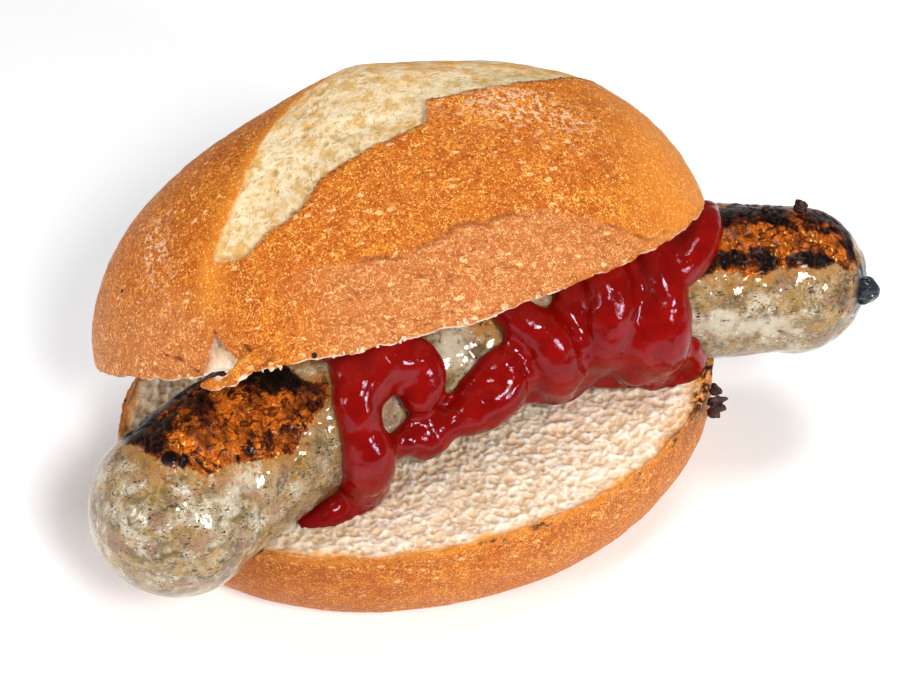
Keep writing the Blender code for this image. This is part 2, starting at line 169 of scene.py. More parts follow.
# The tear in the front rim of the upper half, the cracks round it and the strip of crust that crosses it
NOTCH_PLACE = (-0.0356, -0.0344)
NOTCH_TOP = 0.0068
NOTCH_INWARD = np.array([0.455, 0.890, 0.0])
CRACKS = (
    ((-0.0454, -0.0257, 0.0042), (-0.0428, -0.0278, 0.0032), (-0.0403, -0.0304, 0.0008)),
    ((-0.0309, -0.0347, 0.0045), (-0.0302, -0.0356, 0.0030), (-0.0289, -0.0366, 0.0012)),
    ((-0.0356, -0.0313, 0.0068), (-0.0352, -0.0310, 0.0090), (-0.0360, -0.0300, 0.0112)),
)
TONGUE = ((-0.0285, -0.0372, 0.0030, 0.0012), (-0.0310, -0.0374, 0.0018, 0.0019),
          (-0.0345, -0.0368, 0.0002, 0.0016), (-0.0375, -0.0352, -0.0006, 0.0012),
          (-0.0397, -0.0336, -0.0008, 0.0005))
# Burnt scraps on the lower half's rim: place and size; and on the sausage: distance, angle and size
RIM_SCRAPS = (((0.0556, -0.0185, 0.0280), (0.0016, 0.0012, 0.0010)),
              ((0.0566, -0.0192, 0.0272), (0.0011, 0.0009, 0.0008)),
              ((0.0545, -0.0206, 0.0276), (0.0009, 0.0012, 0.0008)),
              ((0.0564, -0.0165, 0.0287), (0.0007, 0.0010, 0.0007)),
              ((0.0553, -0.0201, 0.0264), (0.0008, 0.0009, 0.0007)))
SKIN_SCRAPS = ((0.1375, -27, 0.0012), (0.1392, -24, 0.0008), (0.1355, -26, 0.0007), (0.1290, -24, 0.0006),
               (0.1120, -18, 0.0007))
CRUST_MARKS = ("band", "gold", "slash", "crumb", "flour", "toast", "pore", "burn", "line")

# The photograph's view
VIEW_TARGET = Vector((-0.00105, 0.00173, 0.025))
VIEW_AZIMUTH = -13.94
VIEW_ELEVATION = 49.65
VIEW_DISTANCE = 0.42
VIEW_LENS = 84.11
VIEW_SHIFT = (0.0439, 0.0546)
VIEW_GAMMA = 0.90
VIEW_EXPOSURE = 0.08
WORLD_LIGHT = 0.15
FLOOR_GLOW = 0.13
# Lamps: name, place, width, watts and colour
LAMPS = (("front", (0.08, -0.46, 0.58), 0.15, 2.7, (1.0, 0.99, 0.96)),
         ("top", (0.22, 0.10, 0.80), 0.30, 2.7, (0.94, 0.96, 1.0)),
         ("side", (-0.55, -0.24, 0.36), 0.18, 1.5, (0.94, 0.96, 1.0)),
         ("low", (0.36, -0.60, 0.36), 0.14, 2.0, (0.98, 0.98, 1.0)),
         ("left", (-0.34, -0.02, 0.09), 0.12, 0.20, (1.0, 0.98, 0.95)))


# Noise on whole arrays of points

def hashed(cells, seed):
    """An even random number from 0 to 1 for each whole-number cell, by mixing its bits."""
    mixed = cells[..., 0] * 73856093 ^ cells[..., 1] * 19349663 ^ cells[..., 2] * 83492791 ^ seed * 2654435
    mixed &= 0xFFFFFFFF
    for _ in range(2):
        mixed = ((mixed >> 16 ^ mixed) * 0x45D9F3B) & 0xFFFFFFFF
    return ((mixed >> 16 ^ mixed) & 0xFFFFFF) / 0x1000000


def grain(points, size, seed):
    """Smooth noise from -1 to 1: the hashed values of the eight corners round a point, eased together."""
    scaled = points / size
    cell = np.floor(scaled).astype(np.int64)
    part = scaled - cell
    ease = part * part * (3 - 2 * part)
    total = np.zeros(points.shape[:-1])
    for corner in np.ndindex(2, 2, 2):
        weight = np.prod(np.where(corner, ease, 1 - ease), axis=-1)
        total += weight * hashed(cell + np.array(corner), seed)
    return 2 * total - 1


def crags(points, size, octaves, seed):
    """Noise added up over octaves, each half the size and half the strength of the last."""
    return sum(grain(points, size / 2 ** k, seed + k) / 2 ** k for k in range(octaves))


def bubbles(points, size, seed):
    """Distance to the nearest of points scattered one to a cell, as a share of the cell's size."""
    scaled = points / size
    cell = np.floor(scaled).astype(np.int64)
    best = np.full(points.shape[:-1], 9.0)
    for step in np.ndindex(3, 3, 3):
        near = cell + np.array(step) - 1
        spot = near + np.stack([hashed(near, seed + k) for k in (11, 12, 13)], -1)
        best = np.minimum(best, ((scaled - spot) ** 2).sum(-1))
    return np.sqrt(best)


def smooth(low, high, value):
    """0 below low, 1 above high, eased between."""
    t = np.clip((value - low) / (high - low), 0, 1)
    return t * t * (3 - 2 * t)


def off_line(points, line):
    """Distance of each point from the nearest of the stretches between a line's given points."""
    best = np.full(points.shape[:-1], 1.0)
    for a, b in zip(np.array(line), np.array(line)[1:]):
        share = np.clip((points - a) @ (b - a) / ((b - a) @ (b - a)), 0, 1)
        best = np.minimum(best, np.linalg.norm(points - a - share[..., None] * (b - a), axis=-1))
    return best


def depth_in(points, outline):
    """How deep each point of a plane lies inside a closed outline, negative outside it."""
    inside = np.zeros(points.shape[:-1], bool)
    for (ax, ay), (bx, by) in zip(outline, (*outline[1:], outline[0])):
        level = (ay > points[..., 1]) != (by > points[..., 1])
        inside ^= level & (points[..., 0] < (bx - ax) * (points[..., 1] - ay) / (by - ay + 1e-9) + ax)
    return np.where(inside, 1, -1) * off_line(points, (*outline, outline[0]))


# Meshes from grids of points

def outward(grid):
    """Unit normals of a grid that closes round its rows, from differences along and around it."""
    along = np.gradient(grid, axis=0)
    around = np.roll(grid, -1, 1) - np.roll(grid, 1, 1)
    normal = np.cross(along, around)
    return normal / np.maximum(np.linalg.norm(normal, axis=-1, keepdims=True), 1e-12)


def solid(name, points, corners, sizes, marks, finish):
    """A smooth-shaded mesh object from arrays of points, face corners, face sizes and point marks."""
    mesh = bpy.data.meshes.new(name)
    mesh.vertices.add(len(points))
    mesh.vertices.foreach_set("co", points.astype(np.float32).ravel())
    mesh.loops.add(len(corners))
    mesh.loops.foreach_set("vertex_index", corners.astype(np.int32))
    mesh.polygons.add(len(sizes))
    mesh.polygons.foreach_set("loop_start", np.concatenate([[0], np.cumsum(sizes)[:-1]]).astype(np.int32))
    mesh.update(calc_edges=True)
    mesh.shade_smooth()
    for mark, values in marks.items():
        made = mesh.attributes.new(mark, "FLOAT", "POINT")
        made.data.foreach_set("value", values.astype(np.float32).ravel())
    mesh.materials.append(finish)
    made = bpy.data.objects.new(name, mesh)
    bpy.context.scene.collection.objects.link(made)
    return made


def faces_of(rows, around, start=0):
    """Corners and sizes of a closed grid's faces: quads between rows and a fan to each of its two tips."""
    i, j = np.meshgrid(np.arange(rows - 1), np.arange(around), indexing="ij")
    k = (j + 1) % around
    quads = np.stack([i * around + j, (i + 1) * around + j, (i + 1) * around + k, i * around + k], -1)
    ring = np.arange(around)
    after = (ring + 1) % around
    tip = np.full(around, rows * around)
    last = (rows - 1) * around
    fans = np.concatenate([np.stack([tip, ring, after], -1),
                           np.stack([tip + 1, last + after, last + ring], -1)])
    corners = np.concatenate([quads.ravel(), fans.ravel()]) + start
    return corners, np.concatenate([np.full(quads.size // 4, 4), np.full(len(fans), 3)])


def skin(name, grid, marks, finish):
    """A closed skin over a grid, its first and last rows drawn together into a tip each."""
    rows, around = grid.shape[:2]
    points = np.concatenate([grid.reshape(-1, 3), grid[[0, -1]].mean(axis=1)])
    full = {mark: np.concatenate([values.ravel(), values[[0, -1]].mean(axis=1)])
            for mark, values in marks.items()}
    return solid(name, points, *faces_of(rows, around), full, finish)


def joined(grids):
    """Points, face corners and face sizes of several closed grids as one mesh."""
    points, corners, sizes, start = [], [], [], 0
    for grid in grids:
        points.append(np.concatenate([grid.reshape(-1, 3), grid[[0, -1]].mean(axis=1)]))
        found, counts = faces_of(*grid.shape[:2], start)
        corners.append(found)
        sizes.append(counts)
        start += len(points[-1])
    return np.concatenate(points), np.concatenate(corners), np.concatenate(sizes)


def profile(share, height):
    """Rows of a roll's outline: how much of its width each takes, and how high it lies."""
    return np.stack(np.broadcast_arrays(share, height), -1)


def moved(points, pose):
    """Points put through a 4 by 4 pose."""
    turn = np.array(pose.to_3x3())
    return points @ turn.T + np.array(pose.translation)


# The roll's shapes

def rim_line(count, length, width, power):
    """Points of the roll's outline, a superellipse by its angle, set closer together along the front."""
    even = np.linspace(0, 2 * math.pi, count, endpoint=False)
    turn = even - 0.4 * np.cos(even)
    c, s = np.cos(turn), np.sin(turn)
    x = np.sign(c) * np.abs(c) ** (2 / power) * length / 2
    y = np.sign(s) * np.abs(s) ** (2 / power) * width / 2
    return x, y


def split_height(x, y):
    """Height of the lower cut face: it rises to the right and at the hinge, and sags in the middle."""
    across = y / (ROLL_WIDTH / 2)
    sag = CUT_SAG * np.clip(1 - (x / (ROLL_LENGTH / 2)) ** 2 - across ** 2, 0, 1)
    return SPLIT_HEIGHT + SPLIT_RISE * x + SPLIT_HINGE * np.clip(across, 0, 1) ** 3 - sag


def sausage_line(count=400):
    """Points along the sausage's middle and its direction, heading and pitch easing evenly."""
    along = np.linspace(0, 1, count)
    heading = np.radians(HEADINGS[0] + (HEADINGS[1] - HEADINGS[0]) * along)
    pitch = np.radians(PITCHES[0] + (PITCHES[1] - PITCHES[0]) * along)
    way = np.stack([np.cos(pitch) * np.cos(heading), np.cos(pitch) * np.sin(heading), np.sin(pitch)], 1)
    step = SAUSAGE_RUN / (count - 1)
    places = np.vstack([np.zeros(3), np.cumsum((way[1:] + way[:-1]) / 2 * step, axis=0)])
    return places + np.array(SAUSAGE_START), way


LINE, WAY = sausage_line()


def casing_radius(along):
    """Radius at a distance along the sausage: it thins evenly and swells a little here and there."""
    share = np.clip(np.asarray(along) / SAUSAGE_RUN, 0, 1)
    swell = UNEVEN * (np.sin(9.0 * share + 0.6) + 0.6 * np.sin(21.0 * share + 2.0))
    return NEAR_RADIUS + (FAR_RADIUS - NEAR_RADIUS) * share + swell * np.sin(math.pi * share) ** 0.5


def frame_at(along):
    """Middle, direction, front side and top side of the sausage at distances along it."""
    share = np.clip(np.asarray(along) / SAUSAGE_RUN, 0, 1) * (len(LINE) - 1)
    index = np.arange(len(LINE))
    place = np.stack([np.interp(share, index, LINE[:, i]) for i in range(3)], -1)
    ahead = np.stack([np.interp(share, index, WAY[:, i]) for i in range(3)], -1)
    front = np.cross(ahead, [0, 0, 1.0])
    front /= np.linalg.norm(front, axis=-1, keepdims=True)
    return place, ahead, front, np.cross(front, ahead)


def on_casing(along, angle, lift):
    """A point above the casing at a distance along the sausage and an angle round it."""
    place, _, front, top = frame_at(along)
    out = math.cos(math.radians(angle)) * top + math.sin(math.radians(angle)) * front
    return place + out * (float(casing_radius(along)) + lift)


def nearest(points, line):
    """Index of the line's point that is nearest to each point, in blocks to spare memory."""
    flat = points.reshape(-1, points.shape[-1])
    found = np.empty(len(flat), np.int64)
    for start in range(0, len(flat), 20000):
        block = flat[start:start + 20000]
        gaps = ((block[:, None, :] - line[None, ::4]) ** 2).sum(-1)
        found[start:start + 20000] = gaps.argmin(1) * 4
    return found.reshape(points.shape[:-1])


def pressed(points, line, gap, above):
    """Points kept clear of the sausage by moving them straight down, or up for what lies above it."""
    at = nearest(points[..., :2], line[:, :2])
    reach = casing_radius(at / (len(line) - 1) * SAUSAGE_RUN) + gap
    off = line[at] - points
    flat = off[..., 0] ** 2 + off[..., 1] ** 2
    half = np.sqrt(np.maximum(reach ** 2 - flat, 0))
    inside = flat < reach ** 2
    height = points[..., 2].copy()
    middle = line[at][..., 2]
    if above:
        height = np.where(inside, np.maximum(height, middle + half), height)
    else:
        height = np.where(inside, np.minimum(height, middle - half), height)
    return np.concatenate([points[..., :2], height[..., None]], -1)


def crown_relief(x, y, step, ragged):
    """How far the slash pushes the crown out, and how much of each point lies in its pale floor."""
    front = np.interp(x, *np.transpose(SLASH_FRONT)) + ragged
    back = np.interp(x, *np.transpose(SLASH_BACK)) - ragged
    wide = np.maximum(back - front, 1e-6)
    share = np.clip((y - front) / wide, 0, 1)
    ends = np.clip(wide / 0.010, 0, 1)
    floor = -0.0022 * (1 - share) * smooth(0, step, y - front)
    ear = 0.0007 * np.clip(1 - np.abs(y - front) / 0.006, 0, 1)
    inside = smooth(-0.0002, 0.0003, y - front) * smooth(-0.0002, 0.0009, back - y) * (ends > 0.02)
    return (floor + ear) * ends, inside, share


def notch(points, ragged):
    """1 inside the tear of the front rim and 0 outside it: a leaning triangle seen square to the rim."""
    x, y, height = points[..., 0], points[..., 1], points[..., 2]
    along = (x - NOTCH_PLACE[0]) * NOTCH_INWARD[1] - (y - NOTCH_PLACE[1]) * NOTCH_INWARD[0]
    rise = 1 - height / NOTCH_TOP
    inside = np.minimum(along + 0.0014 + 0.0036 * rise, 0.0050 * rise - 0.0014 - along) + ragged
    return smooth(-0.1 * MM, 0.3 * MM, inside) * ((y < -0.018) & (x < -0.024))


def lid_pose():
    turn = Euler([math.radians(angle) for angle in LID_TURN], "XYZ")
    return Matrix.Translation(LID_PLACE) @ turn.to_matrix().to_4x4()


def tufts(points, seed):
    """Torn crumb: pores of two sizes with torn walls that stand up between them, from about -1 to 1."""
    hills = 0.30 * grain(points, 5 * MM, seed)
    bent = points + 0.5 * MM * np.stack([grain(points, 1.3 * MM, seed + k) for k in (7, 8, 9)], -1)
    walls = (bubbles(bent, 1.7 * MM, seed + 1) - 0.52) * (1.2 + 0.7 * grain(points, 1.1 * MM, seed + 4))
    fine = bubbles(bent, 0.85 * MM, seed + 5) - 0.5
    return hills + 1.25 * walls + 0.75 * fine + 0.20 * grain(points, 0.6 * MM, seed + 6)


# Shader nodes

def put(tree, kind, sockets=None, **settings):
    """Add a node, set its properties, and set or link its inputs."""
    made = tree.nodes.new("ShaderNode" + kind)
    for key, value in settings.items():
        setattr(made, key, value)
    for key, value in (sockets or {}).items():
        if isinstance(value, bpy.types.NodeSocket):
            tree.links.new(value, made.inputs[key])
        else:
            made.inputs[key].default_value = value
    return made


def mark(tree, name):
    return put(tree, "Attribute", attribute_name=name).outputs["Fac"]


def cloud(tree, where, size, detail=3.0, roughness=0.55, distortion=0.0):
    """Noise whose largest features are about the given size."""
    return put(tree, "TexNoise", {"Vector": where, "Scale": 1 / size, "Detail": detail,
                                  "Roughness": roughness, "Distortion": distortion}).outputs["Fac"]


def spots(tree, where, size):
    return put(tree, "TexVoronoi", {"Vector": where, "Scale": 1 / size}).outputs["Distance"]


def flakes(tree, where, size, share, reach, scale=(1.0, 1.0, 1.0), turn=(0.0, 0.0, 0.0)):
    """Scattered flakes with crisp, uneven edges: a share of the cells of a warped Voronoi pattern."""
    place = stretched(tree, where, scale, turn)
    warp = put(tree, "TexNoise", {"Vector": place, "Scale": 2.2 / size, "Detail": 2.0}).outputs["Color"]
    bent = put(tree, "VectorMath", {0: warp, 1: (size * 0.9,) * 3, 2: place}, operation="MULTIPLY_ADD")
    cells = put(tree, "TexVoronoi", {"Vector": bent.outputs[0], "Scale": 1 / size})
    number = put(tree, "SeparateColor", {0: cells.outputs["Color"]}).outputs[0]
    body = between(tree, cells.outputs["Distance"], reach * 0.85, reach, 1.0, 0.0)
    return times(tree, sums(tree, "LESS_THAN", number, share), body)


def threads(tree, where, size, width, scale=(1.0, 1.0, 1.0), turn=(0.0, 0.0, 0.0)):
    """Thin winding lines where a noise crosses its middle value."""
    value = cloud(tree, stretched(tree, where, scale, turn), size, 2, 0.5, 0.6)
    off = sums(tree, "ABSOLUTE", sums(tree, "SUBTRACT", value, 0.5), 0.0)
    return between(tree, off, width * 0.4, width, 1.0, 0.0)


def between(tree, value, low, high, start=0.0, end=1.0):
    """The value stretched from one range to another, eased and held at the ends."""
    return put(tree, "MapRange", {"Value": value, "From Min": low, "From Max": high, "To Min": start,
                                  "To Max": end}, interpolation_type="SMOOTHSTEP").outputs["Result"]


def sums(tree, how, a, b):
    return put(tree, "Math", {0: a, 1: b}, operation=how).outputs[0]


def times(tree, a, b):
    return sums(tree, "MULTIPLY", a, b)


def blend(tree, factor, a, b):
    made = put(tree, "Mix", data_type="RGBA")
    for key, value in ((0, factor), (6, a), (7, b)):
        if isinstance(value, bpy.types.NodeSocket):
            tree.links.new(value, made.inputs[key])
        else:
            made.inputs[key].default_value = value if key == 0 else (*value[:3], 1.0)
    return made.outputs[2]


def layered(tree, colour, *layers):
    """A colour with others laid over it in turn, each after its factor: a socket, or a value, the ends
    between which it rises, and how far it shows at most."""
    for factor, over in layers:
        if isinstance(factor, tuple):
            value, low, high, *most = factor
            factor = between(tree, value, low, high, 0.0, *most)
        colour = blend(tree, factor, colour, over)
    return colour


def stretched(tree, where, scale, turn=(0.0, 0.0, 0.0)):
    return put(tree, "Mapping", {"Vector": where, "Scale": scale, "Rotation": turn}).outputs["Vector"]


def bump(tree, height, distance, strength=1.0, under=None):
    sockets = {"Height": height, "Distance": distance, "Strength": strength}
    if under is not None:
        sockets["Normal"] = under
    return put(tree, "Bump", sockets).outputs["Normal"]


def finish(name, **shader):
    """A material with an empty tree round one Principled shader, whose plain values are given here."""
    made = bpy.data.materials.new(name)
    made.use_nodes = True
    tree = made.node_tree
    principled = tree.nodes["Principled BSDF"]
    for key, value in shader.items():
        principled.inputs[key.replace("_", " ")].default_value = value
    return made, tree, principled, put(tree, "TexCoord").outputs["Object"]


def crust_finish(settings):
    """Baked crust: mottled gold and brown with pale flecks; marks carry the slash, band and burns."""
    made, tree, shader, where = finish("crust", Specular_IOR_Level=0.20)
    broad = cloud(tree, where, 14 * MM, 3)
    mottle = cloud(tree, where, 3.2 * MM, 5, 0.70, 0.5)
    fine = cloud(tree, where, 0.80 * MM, 4, 0.66, 0.3)
    tiny = cloud(tree, where, 0.36 * MM, 3, 0.75, 0.8)
    small_flake = flakes(tree, where, 0.62 * MM, 0.42, 0.31)
    large_flake = flakes(tree, where, 1.9 * MM, 0.15, 0.36, (0.8, 1.6, 1.4), (0.4, 0.2, 0.5))
    flaked = times(tree, large_flake, between(tree, fine, 0.38, 0.56, 0.1, 0.8))
    thread = threads(tree, where, 1.5 * MM, 0.022)
    thready = between(tree, cloud(tree, where, 6 * MM, 2), 0.42, 0.60, 0.10, 0.75)
    streak = cloud(tree, stretched(tree, where, (0.45, 1.0, 0.8), (0.0, 0.25, 0.12)), 1.1 * MM, 5, 0.75, 1.2)
    crease = threads(tree, where, 4.5 * MM, 0.010, (0.5, 1.4, 1.4), (0.0, 0.0, 0.3))
    band = layered(
        tree, settings.band_dark,
        ((streak, 0.36, 0.62), settings.band_light),
        ((tiny, 0.48, 0.66, 0.75), settings.crust_dark),
        ((tiny, 0.45, 0.34, 0.5), settings.flake),
        (times(tree, small_flake, 0.55), settings.flake),
        (times(tree, thread, 0.55), settings.flake),
        (flaked, settings.flake),
        (times(tree, crease, 0.6), settings.crack_and_shade_line))
    golden = layered(
        tree, settings.gold,
        ((fine, 0.40, 0.62), settings.gold_light),
        ((tiny, 0.50, 0.62, 0.55), settings.crust_dark),
        (times(tree, small_flake, 0.75), settings.flake))
    dusty = between(tree, cloud(tree, where, 1.1 * MM, 4, 0.7), 0.50, 0.58, 0.0, 0.85)
    closed = layered(
        tree, settings.crust_dark,
        ((mottle, 0.38, 0.62), settings.crust_light),
        ((broad, 0.40, 0.62, 0.6), settings.crust_red),
        ((tiny, 0.50, 0.62, 0.90), settings.crust_deep),
        ((fine, 0.52, 0.66, 0.60), settings.crust_deep),
        ((tiny, 0.45, 0.34, 0.55), settings.crust_fleck),
        ((fine, 0.42, 0.34, 0.50), settings.crust_fleck),
        (times(tree, small_flake, 0.90), settings.crust_fleck),
        (times(tree, thread, thready), settings.crust_fleck),
        (flaked, settings.flake),
        (times(tree, mark(tree, "band"), 0.9), band),
        (mark(tree, "gold"), golden),
        # The line mark holds real cracks and painted shade: the shadow along the slash's front edge and the
        # darker left side of the lower half.
        (mark(tree, "line"), settings.crack_and_shade_line),
        (times(tree, mark(tree, "flour"), dusty), settings.flour),
        (between(tree, spots(tree, where, 15 * MM), 0.030, 0.042, 1.0, 0.0), settings.burnt))
    soft = cloud(tree, where, 3.0 * MM, 5, 0.70)
    toast = times(tree, mark(tree, "toast"), between(tree, cloud(tree, where, 4 * MM, 5, 0.65), 0.40, 0.60))
    dashes = sums(tree, "MAXIMUM",
                  flakes(tree, where, 1.2 * MM, 0.40, 0.30, (0.55, 1.7, 1.2), (0.0, 0.0, 0.9)),
                  flakes(tree, where, 0.9 * MM, 0.36, 0.30, (1.7, 0.6, 1.2), (0.0, 0.0, 0.5)))
    dashes = times(tree, dashes, sums(tree, "SUBTRACT", 1.0, mark(tree, "toast")))
    opened = layered(
        tree, settings.slash_shade,
        ((soft, 0.36, 0.56), settings.slash),
        ((tiny, 0.50, 0.66, 0.45), settings.slash_shade),
        (toast, settings.slash_toast),
        # The dashes and the pores take the pore colour: tan strands, and painted shade inside the pits of the
        # pores.
        (times(tree, dashes, 0.65), settings.pore_shade_and_dash),
        (mark(tree, "pore"), settings.pore_shade_and_dash))
    burnt = times(tree, mark(tree, "burn"), between(tree, cloud(tree, where, 1.4 * MM, 4), 0.40, 0.54))
    colour = layered(tree, closed, (mark(tree, "slash"), opened), (mark(tree, "crumb"), settings.crumb),
                     (burnt, settings.burnt))
    tree.links.new(colour, shader.inputs["Base Color"])
    rough = sums(tree, "ADD", between(tree, mottle, 0.3, 0.7, 0.36, 0.54),
                 times(tree, mark(tree, "slash"), 0.3))
    tree.links.new(rough, shader.inputs["Roughness"])
    relief = bump(tree, mottle, 0.35 * MM, 0.8)
    relief = bump(tree, fine, 0.34 * MM, 1.0, relief)
    tree.links.new(bump(tree, tiny, 0.12 * MM, 1.0, relief), shader.inputs["Normal"])
    return made


def crumb_finish(settings):
    """Soft crumb: near white on its tufts and darker in its hollows as painted shade, toasted beside the
    crust.
    """
    made, tree, shader, where = finish("crumb", Roughness=0.80, Specular_IOR_Level=0.20,
                                       Subsurface_Weight=0.50, Subsurface_Radius=(1.0, 0.75, 0.5),
                                       Subsurface_Scale=1.2 * MM)
    fine = cloud(tree, where, 0.8 * MM, 4, 0.68)
    height = sums(tree, "ADD", mark(tree, "height"), between(tree, fine, 0.3, 0.7, -0.30, 0.30))
    patch = between(tree, cloud(tree, where, 2.6 * MM, 5, 0.70), 0.46, 0.60, 0.0, 0.75)
    gold = blend(tree, between(tree, fine, 0.40, 0.60), settings.crumb_toast, settings.gold_light)
    burnt = times(tree, mark(tree, "burn"), between(tree, cloud(tree, where, 1.4 * MM, 4), 0.42, 0.54))
    # The colour darkens from the tufts' tops down into their hollows: painted shade.
    colour = layered(
        tree, settings.crumb_painted_shade,
        ((height, -0.60, 0.35), settings.crumb),
        (patch, settings.crumb_warm),
        (mark(tree, "toast"), gold),
        (burnt, settings.burnt))
    tree.links.new(colour, shader.inputs["Base Color"])
    tree.links.new(bump(tree, fine, 0.40 * MM, 0.9), shader.inputs["Normal"])
    return made


def casing_finish(settings):
    """Grilled skin: pale mottled filling with herbs under a thin gloss, browned and charred by marks, with
    painted glints on the skin and in the marks.
    """
    made, tree, shader, where = finish("casing", Subsurface_Weight=0.10, Subsurface_Radius=(1.0, 0.6, 0.35),
                                       Subsurface_Scale=1.2 * MM, Coat_Roughness=0.04, Coat_IOR=1.4)
    evenly = (1.0, 1.0, 1.0)
    soft = cloud(tree, where, 5 * MM, 5, 0.66, 0.6)
    fine = cloud(tree, where, 1.3 * MM, 5, 0.74, 0.8)
    tiny = cloud(tree, where, 0.35 * MM, 2, 0.6)
    ochre = cloud(tree, stretched(tree, where, evenly, (2.0, 0.4, 1.1)), 4.2 * MM, 4, 0.6, 0.4)
    pale = cloud(tree, stretched(tree, where, evenly, (0.7, 2.4, 0.3)), 5.5 * MM, 4, 0.62, 0.4)
    pink = cloud(tree, where, 3.6 * MM, 4, 0.6)
    gate = between(tree, cloud(tree, where, 3.2 * MM, 3), 0.42, 0.54, 0.25, 1.0)
    herbs = [(times(tree, flakes(tree, where, size, 0.36, 0.30, (0.8, 2.2, 2.2), turn), gate), settings.herb)
             for turn, size in (((0.3, 0.4, 0.6), 1.7 * MM), ((1.2, -0.5, 2.0), 1.3 * MM),
                                ((-0.6, 1.1, -0.9), 0.8 * MM))]
    fatty = sums(tree, "ADD", mark(tree, "fat"), between(tree, soft, 0.3, 0.7, -0.30, 0.30))
    # Small near-white flecks on the pale skin: painted highlights.
    wet = times(tree, flakes(tree, where, 0.8 * MM, 0.30, 0.26, (0.8, 2.2, 0.8), (0.2, 0.0, 0.6)),
                between(tree, pale, 0.46, 0.60, 0.0, 0.75))
    spice = flakes(tree, where, 3.6 * MM, 0.25, 0.09)
    warm = sums(tree, "ADD", mark(tree, "halo"), between(tree, fine, 0.3, 0.7, -0.60, 0.60))
    browned = blend(tree, between(tree, fine, 0.40, 0.60), settings.casing_ochre, settings.browned)
    streaks = cloud(tree, stretched(tree, where, (1.0, 0.5, 1.0), (0.0, 0.0, 0.5)), 2.4 * MM, 5, 0.74, 0.8)
    depth = cloud(tree, where, 5 * MM, 4, 0.6, 0.5)
    # Painted highlights: small bright glints scattered over the seared skin.
    painted_amber_glint = times(tree, flakes(tree, where, 0.80 * MM, 0.50, 0.36, (1.0, 0.7, 1.0), (0.0, 0.0, 0.5)),
                  between(tree, depth, 0.56, 0.46, 0.0, 0.95))
    amber = layered(
        tree, settings.grilled,
        ((streaks, 0.40, 0.58), settings.amber),
        ((tiny, 0.52, 0.64, 0.6), settings.roasted),
        ((depth, 0.48, 0.66, 0.60), settings.roasted),
        (painted_amber_glint, settings.painted_amber_glint))
    grill = sums(tree, "ADD", mark(tree, "grill"), between(tree, fine, 0.3, 0.7, -0.25, 0.25))
    seared = between(tree, grill, 0.35, 0.65)
    wrinkle = threads(tree, where, 3.0 * MM, 0.030, (0.7, 1.2, 1.2), (0.0, 0.0, 0.8))
    char = sums(tree, "ADD", mark(tree, "char"), between(tree, streaks, 0.3, 0.7, -0.30, 0.30))
    char = sums(tree, "ADD", char, between(tree, fine, 0.3, 0.7, -0.30, 0.30))
    colour = layered(
        tree, settings.casing_green,
        ((soft, 0.40, 0.62), settings.casing),
        ((ochre, 0.46, 0.66, 0.80), settings.casing_ochre),
        ((pale, 0.48, 0.66, 0.85), settings.casing_pale),
        ((fine, 0.52, 0.62, 0.60), settings.casing_pale),
        ((pink, 0.50, 0.68, 0.80), settings.casing_pink),
        ((fine, 0.46, 0.36, 0.50), settings.casing_green),
        *herbs,
        ((tiny, 0.52, 0.66, 0.40), settings.casing_green),
        ((fatty, 0.25, 0.95, 0.75), settings.casing_pale),
        (wet, settings.painted_skin_glint),
        (times(tree, spice, 0.6), settings.spice),
        ((warm, 0.35, 1.05, 0.85), browned),
        (seared, amber),
        (times(tree, wrinkle, times(tree, seared, 0.85)), settings.roasted),
        ((char, 0.15, 0.60, 0.95), settings.roasted),
        ((char, 0.66, 0.95), settings.char),
        (mark(tree, "knot"), settings.knot))
    tree.links.new(colour, shader.inputs["Base Color"])
    tree.links.new(between(tree, streaks, 0.35, 0.7, 0.09, 0.24), shader.inputs["Roughness"])
    for socket, plain, grilled in (("Specular IOR Level", 0.30, 0.10), ("Coat Weight", 0.80, 0.15)):
        tree.links.new(between(tree, mark(tree, "grill"), 0.1, 0.9, plain, grilled), shader.inputs[socket])
    relief = bump(tree, soft, 0.6 * MM, 0.6)
    relief = bump(tree, fine, 0.40 * MM, 1.0, relief)
    relief = bump(tree, times(tree, streaks, mark(tree, "grill")), 0.8 * MM, 0.9, relief)
    tree.links.new(bump(tree, tiny, 0.10 * MM, 0.8, relief), shader.inputs["Normal"])
    wavy = cloud(tree, stretched(tree, where, evenly, (0.6, 2.0, 0.4)), 3.4 * MM, 2, 0.5, 0.6)
    tree.links.new(bump(tree, wavy, 0.30 * MM, 0.7), shader.inputs["Coat Normal"])
    return made


def ketchup_finish(settings):
    """Thick red sauce with a wet gloss and a little of the light that passes its thin edges."""
    made, tree, shader, where = finish("ketchup", Roughness=0.07, Specular_IOR_Level=0.30, Coat_Weight=0.08,
                                       Coat_Roughness=0.02, Subsurface_Weight=0.08,
                                       Subsurface_Radius=(1.0, 0.10, 0.06), Subsurface_Scale=1.0 * MM,
                                       Specular_Tint=(0.72, 0.80, 1.0, 1.0))
    pulp = cloud(tree, where, 3.4 * MM, 3, 0.55)
    colour = blend(tree, between(tree, pulp, 0.30, 0.70, 0.45, 1.0), settings.sauce_deep, settings.sauce)
    tree.links.new(colour, shader.inputs["Base Color"])
    ripple = cloud(tree, stretched(tree, where, (1.0, 0.6, 1.0), (0.2, 0.0, 0.9)), 2.4 * MM, 3, 0.6, 0.8)
    relief = bump(tree, cloud(tree, where, 4.0 * MM, 2), 0.35 * MM, 0.6)
    relief = bump(tree, ripple, 0.36 * MM, 0.42, relief)
    ruffle = cloud(tree, where, 0.8 * MM, 3, 0.6, 1.0)
    tree.links.new(bump(tree, ruffle, 0.035 * MM, 0.8, relief), shader.inputs["Normal"])
    return made


